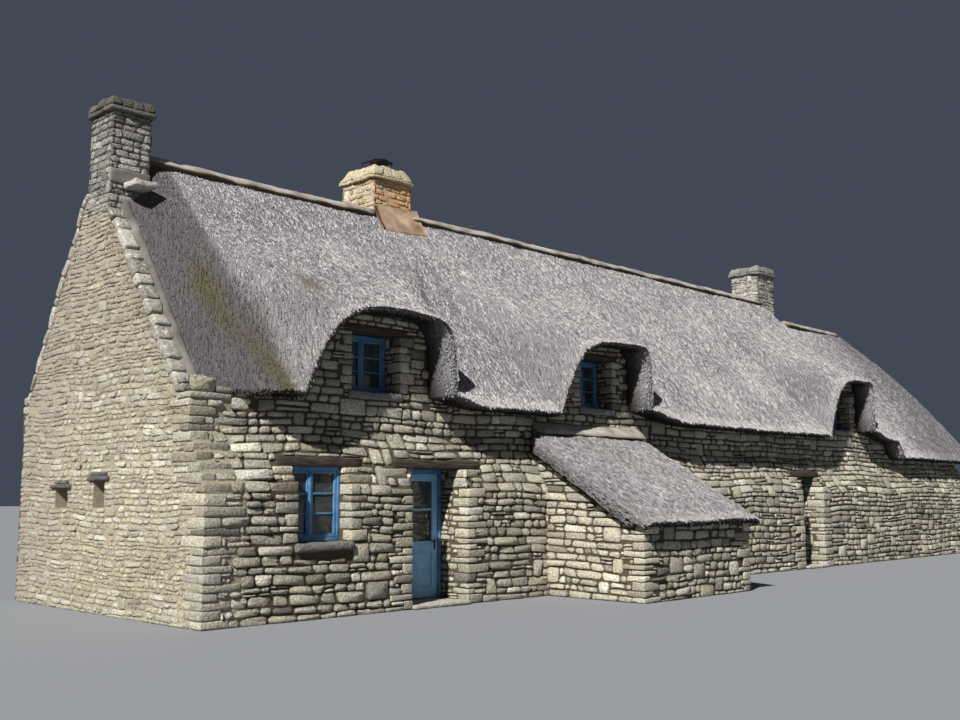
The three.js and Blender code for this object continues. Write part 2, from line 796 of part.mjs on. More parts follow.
function placeRoofTrim() {
  const { x1, y0 } = CHIMNEYS.west;
  place("chimney_middle_apron", chimneyApron(), "mortar");
  place("chimney_middle_cowl", chimneyCowl(), "sheetMetal");
  const drip = box(DRIP_SLAB.x0, x1 - 40, y0 - DRIP_SLAB.reach, y0 - GAP, DRIP_SLAB.z0, DRIP_SLAB.z1);
  place("chimney_west_drip_slab", overThatch(drip), "paleStone");
}

// Timber windows, each a frame with its mullion and sheet of glass

const CASEMENT = { rail: 55, depth: 70, mullion: 60, glass: 8, dormerFront: 320 };

function casement({ x0, x1, z0, z1 }, y) {
  const { rail, depth, mullion, glass } = CASEMENT;
  const left = x0 + GAP;
  const right = x1 - GAP;
  const top = z1 - GAP;
  const centre = (x0 + x1) / 2;
  const pane = y + (depth - glass) / 2;
  const ring = cut(
    box(left, right, y, y + depth, z0, top),
    box(left + rail, centre - mullion / 2, y - 5, y + depth + 5, z0 + rail, top - rail),
    box(centre + mullion / 2, right - rail, y - 5, y + depth + 5, z0 + rail, top - rail),
  );
  return join(ring, box(left + 10, right - 10, pane, pane + glass, z0 + 10, top - 10));
}

function placeWindows() {
  place("window_ground", casement(GROUND_FRAME, GROUND_FRAME.front), "paint");
  for (const window of DORMER_WINDOWS) {
    place(`window_dormer_${window.name}`, casement(window, CASEMENT.dormerFront), "paint");
  }
  REAR_WINDOWS.forEach((window, i) => {
    place(`window_rear_${i + 1}`, casement(window, REAR_FACE - 240), "paint");
  });
}

// Doors: frame in the wall, leaf on hinges at its west edge, opening inwards

const DOOR = {
  front: 150,
  jamb: 60,
  depth: 65.2,
  leafFront: 170,
  leafThick: 45,
  hingeGap: 6,
  latchGap: 8,
  topGap: 6,
  sweep: 8,
};
const HINGE = { radius: 8, height: 90, strap: 110, levels: [300, 1000, 1640] };

function doorFrame({ x0, x1 }) {
  const { front, jamb, depth } = DOOR;
  const head = LINTEL.z0 - 2 * GAP;
  return cut(
    box(x0 + GAP, x1 - GAP, front, front + depth, SILL_LEVEL + GAP, head),
    box(x0 + jamb, x1 - jamb, front - 10, front + depth + 10, 0, head - jamb),
  );
}

// Upper light and lower panel, sunk into both faces of the leaf
function doorLeaf({ x0, x1 }) {
  const { jamb, leafFront, leafThick, hingeGap, latchGap, topGap, sweep } = DOOR;
  const left = x0 + jamb + hingeGap;
  const right = x1 - jamb - latchGap;
  const foot = SILL_LEVEL + sweep;
  const top = LINTEL.z0 - 2 * GAP - jamb - topGap;
  const back = leafFront + leafThick;
  const stile = 110;
  const lock = lerp(foot, top, 0.42);
  const light = [left + stile, right - stile];
  const leaf = cut(
    box(left, right, leafFront, back, foot, top),
    box(...light, leafFront - 5, leafFront + 18, lock + 60, top - stile),
    box(...light, back - 18, back + 5, lock + 60, top - stile),
    box(...light, leafFront - 5, leafFront + 12, foot + 150, lock - 60),
    box(...light, back - 12, back + 5, foot + 150, lock - 60),
  );
  return join(leaf, ...HINGE.levels.flatMap((z) => hingeKnuckle(left - hingeGap / 2, back, z)));
}

// A knuckle on the hinge axis, just behind the leaf, with its strap
function hingeKnuckle(x, back, z) {
  const { radius, height, strap } = HINGE;
  const barrel = new THREE.CylinderGeometry(radius, radius, height, 16).rotateX(Math.PI / 2);
  const half = height / 2;
  return [barrel.translate(x, back + radius, z), box(x, x + strap, back - 2, back + 4, z - half, z + half)];
}

function placeDoors() {
  const doors = { west: DOOR_ONE, east: DOOR_TWO };
  for (const [name, door] of Object.entries(doors)) {
    const threshold = box(door.x0, door.x1, -BATTER - 90, WALL, 0, SILL_LEVEL);
    place(`door_${name}_threshold`, threshold, "paleStone");
    place(`door_${name}_frame`, doorFrame(door), "paint");
    place(`door_${name}_leaf`, doorLeaf(door), "paint");
  }
}

// Lean-to: three low walls under a thatched single slope against the house

function leantoTop(y) {
  return LEANTO_ROOF.eaveZ + LEANTO_ROOF.slope * (y - LEANTO_ROOF.eaveY);
}

function houseFace(gap) {
  return [
    [-BATTER - gap, -10],
    [-BATTER - gap, BATTER_FOOT_TOP],
    [-gap, BATTER_TOP],
    [-gap, 4000],
    [WALL, 4000],
    [WALL, -10],
  ].reverse();
}

function leantoThatch() {
  const { eaveY, eaveZ, thickness } = LEANTO_ROOF;
  const { x0, x1, front, verge } = LEANTO;
  const block = alongX(
    [
      [0, leantoTop(0)],
      [eaveY, eaveZ],
      [front, leantoTop(front) - thickness + 150],
      [front + 350, leantoTop(front + 350) - thickness],
      [0, leantoTop(0) - thickness],
    ],
    x0 - verge,
    x1 + verge,
  );
  return cut(block, alongX(houseFace(GAP), x0 - 1000, x1 + 1000));
}

// What lies above the lean-to's walls
function aboveLeanto() {
  const level = (y) => [y, leantoTop(y) - LEANTO_ROOF.wallDepth];
  return alongX([level(-3000), level(1000), [1000, 4000], [-3000, 4000]], 0, LENGTH);
}

// Mortar strip that seals the lean-to's thatch to the house
function leantoFillet(roof, house) {
  const strip = [
    [-GAP, 2500],
    [-GAP, leantoTop(0) + 95],
    [-250, leantoTop(-250) + 70],
    [-250, 2400],
  ];
  return cut(alongX(strip, LEANTO.x0 + 90, LEANTO.x1 + 20), lowered(roof, -GAP), house);
}

function placeLeanto() {
  const { x0, x1, front, wall } = LEANTO;
  const height = 2300;
  const roof = leantoThatch();
  const house = alongX(houseFace(GAP), x0 - 1000, x1 + 1000);
  const tools = [aboveLeanto(), lowered(roof, GAP)];
  const side = (a, b) => cut(box(a, b, front + wall + GAP, 0, 0, height), ...tools, house);
  place("leanto_thatch", roof, "thatch");
  place("leanto_front_wall", cut(box(x0, x1, front, front + wall, 0, height), ...tools), "stone");
  place("leanto_west_wall", side(x0, x0 + wall), "stone");
  place("leanto_east_wall", side(x1 - wall, x1), "stone");
  place("leanto_cap", leantoFillet(roof, house), "mortar");
}

placeThatch();
placeRidge();
placeGable();
placeFrontWalls();
placeShell();
placeChimneys();
placeRoofTrim();
placeWindows();
placeDoors();
placeLeanto();

export default house;
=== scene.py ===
"""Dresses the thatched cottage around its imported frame: reed thatch, rubble walls,
chimneys and joinery, with the camera, the light and the floor.

Sizes are house metres: x from the outer face of the west gable, y from the upper front
wall towards the back, z up. Shape.build() shifts them to the frame's own origin.
"""

from __future__ import annotations

import json
import logging
import math
from collections.abc import Callable
from dataclasses import dataclass, field
from enum import Enum
from functools import cache

import bpy
import numpy as np
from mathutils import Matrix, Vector

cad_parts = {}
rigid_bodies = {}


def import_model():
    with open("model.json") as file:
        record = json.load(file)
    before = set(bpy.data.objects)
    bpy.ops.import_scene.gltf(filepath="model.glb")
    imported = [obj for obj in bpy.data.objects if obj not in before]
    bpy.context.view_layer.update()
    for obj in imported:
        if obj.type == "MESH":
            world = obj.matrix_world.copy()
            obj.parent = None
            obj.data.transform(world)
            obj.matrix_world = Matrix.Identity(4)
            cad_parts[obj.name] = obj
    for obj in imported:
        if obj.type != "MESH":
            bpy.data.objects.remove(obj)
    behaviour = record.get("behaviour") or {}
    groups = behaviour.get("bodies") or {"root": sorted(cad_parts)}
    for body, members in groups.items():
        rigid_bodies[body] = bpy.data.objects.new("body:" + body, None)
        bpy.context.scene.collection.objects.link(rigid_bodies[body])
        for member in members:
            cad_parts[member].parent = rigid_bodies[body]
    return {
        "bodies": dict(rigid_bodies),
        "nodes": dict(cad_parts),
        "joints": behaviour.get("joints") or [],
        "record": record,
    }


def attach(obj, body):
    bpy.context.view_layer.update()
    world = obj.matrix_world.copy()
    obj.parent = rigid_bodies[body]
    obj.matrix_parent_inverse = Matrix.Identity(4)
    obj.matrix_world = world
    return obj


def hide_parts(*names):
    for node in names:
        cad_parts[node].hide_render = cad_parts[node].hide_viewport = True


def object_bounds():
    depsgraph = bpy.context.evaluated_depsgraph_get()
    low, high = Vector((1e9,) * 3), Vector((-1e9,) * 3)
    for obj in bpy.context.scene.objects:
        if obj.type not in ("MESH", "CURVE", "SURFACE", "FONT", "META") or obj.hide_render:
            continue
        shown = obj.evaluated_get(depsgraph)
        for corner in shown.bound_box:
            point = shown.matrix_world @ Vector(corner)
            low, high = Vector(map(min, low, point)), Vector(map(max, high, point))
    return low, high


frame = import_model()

CAD_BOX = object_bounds()
HOUSE_ORIGIN = np.array([-11.875, -2.5, 0.0])
log = logging.getLogger("cottage")

Array = np.ndarray
Amount = np.ndarray | float
Pair = tuple[float, float]
Point = tuple[float, float, float]
Rect = tuple[float, float, float, float]
Outline = list[Pair]
Tones = tuple[np.ndarray, np.ndarray, np.ndarray]


# Numbers shared by the shapes


def linear(hex_colour: str) -> tuple[float, float, float, float]:
  """Turns an sRGB hex colour to linear light.

  Args:
    hex_colour: six hex digits, with or without a leading mark.

  Returns:
    Red, green, blue and an alpha of one.
  """
  digits = hex_colour.lstrip("#")
  parts = [int(digits[i : i + 2], 16) / 255 for i in (0, 2, 4)]
  curve = [c / 12.92 if c <= 0.04045 else ((c + 0.055) / 1.055) ** 2.4 for c in parts]
  return curve[0], curve[1], curve[2], 1.0


def lerp(a: Amount, b: Amount, t: Amount) -> Amount:
  """Mixes a and b by the share t."""
  return a + (b - a) * t


def smooth(t: Amount) -> Amount:
  """Eases from nought to one between t = 0 and t = 1."""
  u = np.clip(t, 0.0, 1.0)
  return u * u * (3 - 2 * u)


def unit(v: Array) -> Array:
  """Scales rows of vectors to length one."""
  return v / np.maximum(np.linalg.norm(v, axis=-1, keepdims=True), 1e-9)


def xyz(x: Amount, y: Amount, z: Amount) -> Array:
  """Joins coordinates to rows of points."""
  return np.stack(np.broadcast_arrays(x, y, z), axis=-1)


class Ripple:
  """A smooth, repeatable unevenness: a sum of slanted waves, about -1 to 1."""

  def __init__(self, seed: int, wavelength: float, waves: int = 7) -> None:
    """Draws the waves.

    Args:
      seed: picks the pattern.
      wavelength: middle wavelength in metres.
      waves: how many are summed.
    """
    rng = np.random.default_rng(seed)
    direction = unit(rng.normal(size=(waves, 3)))
    self.steps = direction * (2 * math.pi / (wavelength * rng.uniform(0.6, 1.6, (waves, 1))))
    self.phases = rng.uniform(0, 2 * math.pi, waves)

  def at(self, points: Array) -> Array:
    """Gives the height of the ripple at rows of points."""
    return np.sin(points @ self.steps.T + self.phases).sum(axis=1) / math.sqrt(len(self.phases) * 1.6)


# Materials


MIX_A, MIX_B, MIX_RESULT = 6, 7, 2
VALUES = ("tint", "stain", "moss", "joint_dirt_and_shade")


def per_metre(millimetres: float) -> float:
  """Turns a real feature size in millimetres to a texture scale."""
  return 1000.0 / millimetres


class Board:
  """The node tree of one material, with the sockets its patterns start from."""

  def __init__(self, name: str) -> None:
    """Makes an empty material."""
    self.material = bpy.data.materials.new(name)
    self.material.use_nodes = True
    self.tree = self.material.node_tree
    self.tree.nodes.clear()
    self.place = self.add("TexCoord").outputs["Object"]
    values = [self.add("Attribute", attribute_name=key).outputs["Fac"] for key in VALUES]
    # The last value carries joint dirt on the stones and painted shade on the thatch
    self.tint, self.stain, self.moss, self.joint_dirt_and_shade = values

  def add(self, kind: str, sockets: dict | list = (), stops: list = (), **settings: str) -> bpy.types.Node:
    """Adds a node with its settings and links.

    Args:
      kind: Blender's name of the node, after ShaderNode.
      sockets: numbers, hex colours or the nodes or sockets they come from, in
        order or by the input's name or number.
      stops: places and hex colours of a colour ramp.
      settings: properties of the node.

    Returns:
      The new node.
    """
    made = self.tree.nodes.new("ShaderNode" + kind)
    for key, value in settings.items():
      setattr(made, key, value)
    for key, value in sockets.items() if isinstance(sockets, dict) else enumerate(sockets):
      if isinstance(value, bpy.types.Node):
        value = value.outputs[MIX_RESULT if value.bl_idname == "ShaderNodeMix" else 0]
      if isinstance(value, bpy.types.NodeSocket):
        self.tree.links.new(value, made.inputs[key])
      else:
        made.inputs[key].default_value = linear(value) if isinstance(value, str) else value
    if stops:
      ramp = made.color_ramp.elements
      while len(ramp) < len(stops):
        ramp.new(0.5)
      for element, (position, colour) in zip(ramp, stops):
        element.position = position
        element.color = linear(colour)
    return made

  def scaled(self, colour: bpy.types.Node, first: bpy.types.Node, second: bpy.types.Node) -> bpy.types.Node:
    """Lightens and darkens a colour by the product of two patterns."""
    value = self.add("Math", [first, second], operation="MULTIPLY")
    return self.add("VectorMath", {0: colour, "Scale": value}, operation="SCALE")

  def layered(self, colour: bpy.types.Node | str, *coats: tuple) -> bpy.types.Node:
    """Lays coats over a colour.

    Args:
      colour: the lowest.
      coats: each one's share and colour.

    Returns:
      The node of the uppermost.
    """
    for share, coat in coats:
      colour = self.add("Mix", {0: share, MIX_A: colour, MIX_B: coat}, data_type="RGBA")
    return colour

  def shade(self, sockets: dict, relief: tuple = ()) -> bpy.types.Material:
    """Closes the tree with a Principled shader.

    Args:
      sockets: what the shader takes.
      relief: what the bump follows, its strength and its depth in metres.

    Returns:
      The material.
    """
    if relief:
      sockets["Normal"] = self.add("Bump", dict(zip(("Height", "Strength", "Distance"), relief)))
    self.add("OutputMaterial", [self.add("BsdfPrincipled", sockets)])
    return self.material


class Finish:
  """A finish that a piece can be given."""

  def make(self) -> bpy.types.Material:
    """Makes the material."""
    raise NotImplementedError


@dataclass(frozen=True)
class WeatheredReed(Finish):
  """Water reed, cut, laid and combed, gone grey: matt, finely streaked down the slope,
  silver where the straw ends catch the light, dark and mossy where it stays damp, and painted dark brown as
  shade under the eave."""

  name: str = "weathered_reed"
  straws: tuple[str, ...] = ("#555458", "#6f6f74", "#8a888c", "#a1a0a2", "#b8b8b9")
  damp: str = "#464347"
  moss: tuple[str, str] = ("#37341f", "#5f5530")
  # The dark brown of painted shade, on the under side, the lip and the deep straws of the rim
  under: str = "#2a231f"

  def make(self) -> bpy.types.Material:
    """Makes the material."""
    b = Board(self.name)
    straw = b.add("ValToRGB", [b.tint], list(zip(np.linspace(0, 1, len(self.straws)), self.straws)))
    # Single straws are 4 to 6 mm thick: drawn as small bundles so that they show
    fine = b.add("TexNoise", {"Vector": b.place, "Scale": per_metre(12), "Detail": 3.0})
    # A thatcher's strip is a little under a metre wide and weathers as one
    strip = b.add("TexNoise", {"Vector": b.place, "Scale": per_metre(900), "Detail": 4.0})
    grain = b.add("MapRange", [fine, 0.3, 0.7, 0.62, 1.2])
    cloud = b.add("MapRange", [strip, 0.3, 0.7, 0.92, 1.05])
    green = b.add("ValToRGB", [fine], list(zip((0.3, 0.75), self.moss)))
    # The grime value lays the under colour as painted shade under the eave and deep in the lip
    colour = b.layered(b.scaled(straw, grain, cloud), (b.stain, self.damp), (b.moss, green),
                       (b.joint_dirt_and_shade, self.under))
    return b.shade({"Base Color": colour, "Roughness": 0.92, "Specular IOR Level": 0.2}, (fine, 0.8, 0.012))


@dataclass(frozen=True)
class FieldStone(Finish):
  """Split schist and granite picked from the fields: matt, grainy, each stone its own
  tone, with pale lichen crusts and, where damp, a dark skin."""

  name: str
  tones: tuple[str, ...] = ("#7e7a73", "#a29c8a", "#b3b0a5", "#c9c3ad", "#d8d5c9", "#f5f0db")
  lichen: str = "#cbc8ba"
  soil: str = "#574a3b"
  growth: str = "#5c5a2c"
  seam: str = "#423a30"
  lichen_share: float = 0.38
  grain_mm: float = 11.0

  def make(self) -> bpy.types.Material:
    """Makes the material."""
    b = Board(self.name)
    body = b.add("ValToRGB", [b.tint], list(zip(np.linspace(0, 1, len(self.tones)), self.tones)))
    # Mineral grains are 2 to 4 mm: drawn at three times that, so that they show
    grain, split, crust = (
        b.add("TexNoise", {"Vector": b.place, "Scale": per_metre(size), "Detail": detail, "Roughness": rough})
        # Hollows left by splitting are 15 to 40 mm wide, lichen crusts 50 to 90 mm
        for size, detail, rough in ((self.grain_mm, 4.0, 0.65), (34, 5.0, 0.6), (70, 6.0, 0.7))
    )
    speck = b.add("MapRange", [grain, 0.3, 0.7, 0.62, 1.28])
    mottle = b.add("MapRange", [split, 0.36, 0.62, 0.62, 1.14])
    edge = 1 - self.lichen_share
    spread = b.add("MapRange", [crust, edge, edge + 0.1, 0.0, 0.75])
    colour = b.layered(b.scaled(body, speck, mottle), (spread, self.lichen), (b.stain, self.soil),
                       (b.moss, self.growth), (b.joint_dirt_and_shade, self.seam))
    height = b.add("Math", [split, 3.0, grain], operation="MULTIPLY_ADD")
    return b.shade({"Base Color": colour, "Roughness": 0.9, "Specular IOR Level": 0.3},
                   (height, 0.9, 0.014))


@dataclass(frozen=True)
class LimeMortar(Finish):
  """Lime and sand mortar struck off with a trowel: chalky, softly uneven, with sand
  grains and weather streaks, and dark brown painted shade where the stain value marks an under side."""

  name: str
  body: tuple[str, str, str]
  # Painted shade colour, laid on under sides by the stain value
  painted_underside_shade: str = "#4a3e33"

  def make(self) -> bpy.types.Material:
    """Makes the material."""
    b = Board(self.name)
    # One batch of mortar covers about a third of a metre
    batch = b.add("TexNoise", {"Vector": b.place, "Scale": per_metre(320), "Detail": 5.0})
    body = b.add("ValToRGB", [batch], list(zip((0.3, 0.5, 0.72), self.body)))
    # Sand grains are 1 to 3 mm: drawn at 9 mm so that they show
    sand = b.add("TexNoise", {"Vector": b.place, "Scale": per_metre(9), "Detail": 3.0})
    speck = b.add("MapRange", [sand, 0.3, 0.7, 0.78, 1.15])
    tone = b.add("Math", [b.tint, 0.5], operation="ADD")
    colour = b.layered(b.scaled(body, speck, tone), (b.stain, self.painted_underside_shade))
    return b.shade({"Base Color": colour, "Roughness": 0.93, "Specular IOR Level": 0.25},
                   (sand, 0.5, 0.008))


@dataclass(frozen=True)
class BeddingMortar(Finish):
  """Earth and lime between the stones, raked back: dark and crumbly outside, and
  limewashed white on the faces inside the house."""

  name: str = "bedding_mortar"
  joint: tuple[str, str] = ("#372f26", "#625746")
  wash: str = "#b9b2a4"
  inside_low: Point = (-11.29, -1.915, -0.5)
  inside_high: Point = (11.29, 1.585, 5.0)

  def make(self) -> bpy.types.Material:
    """Makes the material."""
    b = Board(self.name)
    # Crumbs of earth are 10 to 25 mm wide
    crumb = b.add("TexNoise", {"Vector": b.place, "Scale": per_metre(18), "Detail": 5.0})
    joint = b.add("ValToRGB", [crumb], list(zip((0.3, 0.7), self.joint)))
    above = b.add("VectorMath", [b.place, self.inside_low], operation="SUBTRACT")
    below = b.add("VectorMath", [self.inside_high, b.place], operation="SUBTRACT")
    least = b.add("SeparateXYZ", [b.add("VectorMath", [above, below], operation="MINIMUM")])
    corner = b.add("Math", [least.outputs[0], least.outputs[1]], operation="MINIMUM")
    inside = b.add("Math", [corner, 0.0], operation="GREATER_THAN")
    colour = b.layered(joint, (inside, self.wash))
    return b.shade({"Base Color": colour, "Roughness": 0.95, "Specular IOR Level": 0.2},
                   (crumb, 0.7, 0.015))


@dataclass(frozen=True)
class Timber(Finish):
  """Hewn oak, or sawn boards: long grain with dark checks, silvered where it weathers."""

  name: str = "hewn_oak"
  tones: tuple[str, str, str] = ("#26201d", "#41372f", "#655a52")
  stretch: float = 14.0
  roughness: float = 0.82

  def make(self) -> bpy.types.Material:
    """Makes the material."""
    b = Board(self.name)
    along = b.add("VectorMath", [b.place, (1 / self.stretch, 1.0, 1.0)], operation="MULTIPLY")
    # Growth rings are 2 to 4 mm: drawn as 16 mm bands so that they show
    grain = b.add("TexNoise", {"Vector": along, "Scale": per_metre(16), "Detail": 5.0, "Roughness": 0.6,
                               "Distortion": 0.4})
    colour = b.add("ValToRGB", [grain], list(zip((0.32, 0.52, 0.72), self.tones)))
    return b.shade({"Base Color": colour, "Roughness": self.roughness, "Specular IOR Level": 0.35},
                   (grain, 0.7, 0.006))


@dataclass(frozen=True)
class OilPaint(Finish):
  """Oil paint brushed on joinery: a soft satin blue, thinner and greyer where the
  weather reaches it, with faint brush marks."""

  name: str = "blue_oil_paint"
  fresh: str = "#4378a6"
  worn: str = "#7397b2"

  def make(self) -> bpy.types.Material:
    """Makes the material."""
    b = Board(self.name)
    # Paint wears in patches about as wide as a hand
    cloud = b.add("TexNoise", {"Vector": b.place, "Scale": per_metre(120), "Detail": 5.0})
    share = b.add("MapRange", [cloud, 0.45, 0.75, 0.0, 0.7])
    # Brush marks are 1 to 2 mm: drawn at 5 mm, long up the stile
    drawn = b.add("VectorMath", [b.place, (1.0, 1.0, 0.08)], operation="MULTIPLY")
    brush = b.add("TexNoise", {"Vector": drawn, "Scale": per_metre(5)})
    colour = b.layered(self.fresh, (share, self.worn), (b.stain, "#26313a"))
    return b.shade({"Base Color": colour, "Roughness": 0.48}, (brush, 0.15, 0.002))


@dataclass(frozen=True)
class OldGlass(Finish):
  """Drawn window glass, a little wavy: clear, with sky in it and the dark room behind."""

  name: str = "old_glass"

  def make(self) -> bpy.types.Material:
    """Makes the material."""
    b = Board(self.name)
    # Drawn sheets wave over a hand's breadth or two
    wave = b.add("TexNoise", {"Vector": b.place, "Scale": per_metre(160), "Detail": 1.0})
    return b.shade({"Base Color": "#a9b6b8", "Roughness": 0.03, "IOR": 1.5, "Transmission Weight": 0.92},
                   (wave, 0.12, 0.01))


@dataclass(frozen=True)
class SootedSheet(Finish):
  """Thin folded steel sheet, painted once and sooted: dull black with rust freckles."""

  name: str = "sooted_sheet"

  def make(self) -> bpy.types.Material:
    """Makes the material."""
    b = Board(self.name)
    # Rust freckles are 10 to 50 mm wide
    cloud = b.add("TexNoise", {"Vector": b.place, "Scale": per_metre(45), "Detail": 6.0})
    colour = b.add("ValToRGB", [cloud], [(0.55, "#1d1b1c"), (0.75, "#5a3a27")])
    rough = b.add("MapRange", {0: cloud, "To Min": 0.45, "To Max": 0.8})
    return b.shade({"Base Color": colour, "Roughness": rough, "Metallic": 0.3})


@dataclass(frozen=True)
class Flags(Finish):
  """Worn stone flags with earth in the joints, laid to about half a metre."""

  name: str = "worn_flags"

  def make(self) -> bpy.types.Material:
    """Makes the material."""
    b = Board(self.name)
    laid = b.add("TexVoronoi", {"Vector": b.place, "Scale": per_metre(520)})
    gap = b.add("TexVoronoi", {"Vector": b.place, "Scale": per_metre(520)}, feature="DISTANCE_TO_EDGE")
    tone = b.add("ValToRGB", [laid.outputs["Color"]], [(0.1, "#8d8474"), (0.9, "#a9a08e")])
    edge = b.add("MapRange", [gap, 0.01, 0.035])
    return b.shade({"Base Color": b.layered("#4e463a", (edge, tone)), "Roughness": 0.8}, (edge, 0.5, 0.01))


@dataclass(frozen=True)
class StudioFloor(Finish):
  """Plain pale matt floor."""

  name: str = "studio_floor"

  def make(self) -> bpy.types.Material:
    """Makes the material."""
    return Board(self.name).shade({"Base Color": "#7d8187", "Roughness": 0.95, "Specular IOR Level": 0.1})


class Cloth(Enum):
  """The finishes in use, by what they cover."""

  THATCH = WeatheredReed()
  GABLE_STONE = FieldStone("gable_stone",
                           ("#8b8880", "#a8a48f", "#b4b2a7", "#c6c2a8", "#d0d0c5", "#e9e7d4"),
                           soil="#6b4637", growth="#8d8585", seam="#857b66", lichen_share=0.4)
  FRONT_STONE = FieldStone("front_stone")
  CHIMNEY_STONE = FieldStone("chimney_stone", ("#696969", "#888883", "#a4a4a6", "#bcbcb5", "#dadbd7"),
                             growth="#4c4a3a", seam="#4f4a42", lichen_share=0.34)
  WARM_STONE = FieldStone("warm_stone", ("#978770", "#bfaa82", "#c8bda8", "#daccac", "#f0e9dc"),
                          soil="#dfae70", seam="#8d7448", lichen_share=0.3)
  PLAIN_STONE = FieldStone("plain_stone")
  DRESSED_STONE = FieldStone("dressed_stone", ("#77736d", "#8c8880", "#a09b94", "#b1aea5", "#c6c3bb"),
                             "#dedcd2", "#77594a", lichen_share=0.46, grain_mm=9.0)
  SILL_STONE = FieldStone("sill_stone", ("#626160", "#747271", "#858383", "#939392", "#a5a5a6"),
                          lichen_share=0.3, grain_mm=9.0)
  MORTAR = LimeMortar("lime_mortar", ("#716c66", "#928d84", "#adaaa4"))
  GREY_MORTAR = LimeMortar("grey_mortar", ("#4e4d4b", "#64615d", "#7c7a76"))
  RUSTED_MORTAR = LimeMortar("rusted_mortar", ("#756050", "#97806d", "#b09c88"))
  BEDDING = BeddingMortar()
  WARM_BEDDING = BeddingMortar("warm_bedding_mortar", ("#86714f", "#b29a72"))
  PALE_BEDDING = BeddingMortar("pale_bedding_mortar", ("#857d6d", "#aba391"))
  GREY_BEDDING = BeddingMortar("grey_bedding_mortar", ("#565149", "#7b7569"))
  OAK = Timber()
  BOARDS = Timber("sawn_boards", ("#6d5138", "#8c6c4c", "#a98a66"), stretch=10.0, roughness=0.7)
  BLUE = OilPaint()
  PALE_BLUE = OilPaint("washed_oil_paint", fresh="#80b5e2", worn="#abd2f0")
  GLASS = OldGlass()
  SHEET = SootedSheet()
  FLAGS = Flags()


@cache
def material(choice: Cloth) -> bpy.types.Material:
  """Gives the material of a finish, made once."""
  return choice.value.make()


# Meshes


def placed(name: str, data: bpy.types.ID) -> bpy.types.Object:
  """Makes an object and links it to the scene.

  Args:
    name: what the object is called.
    data: its mesh, light or camera.

  Returns:
    The object.
  """
  made = bpy.data.objects.new(name, data)
  bpy.context.scene.collection.objects.link(made)
  return made


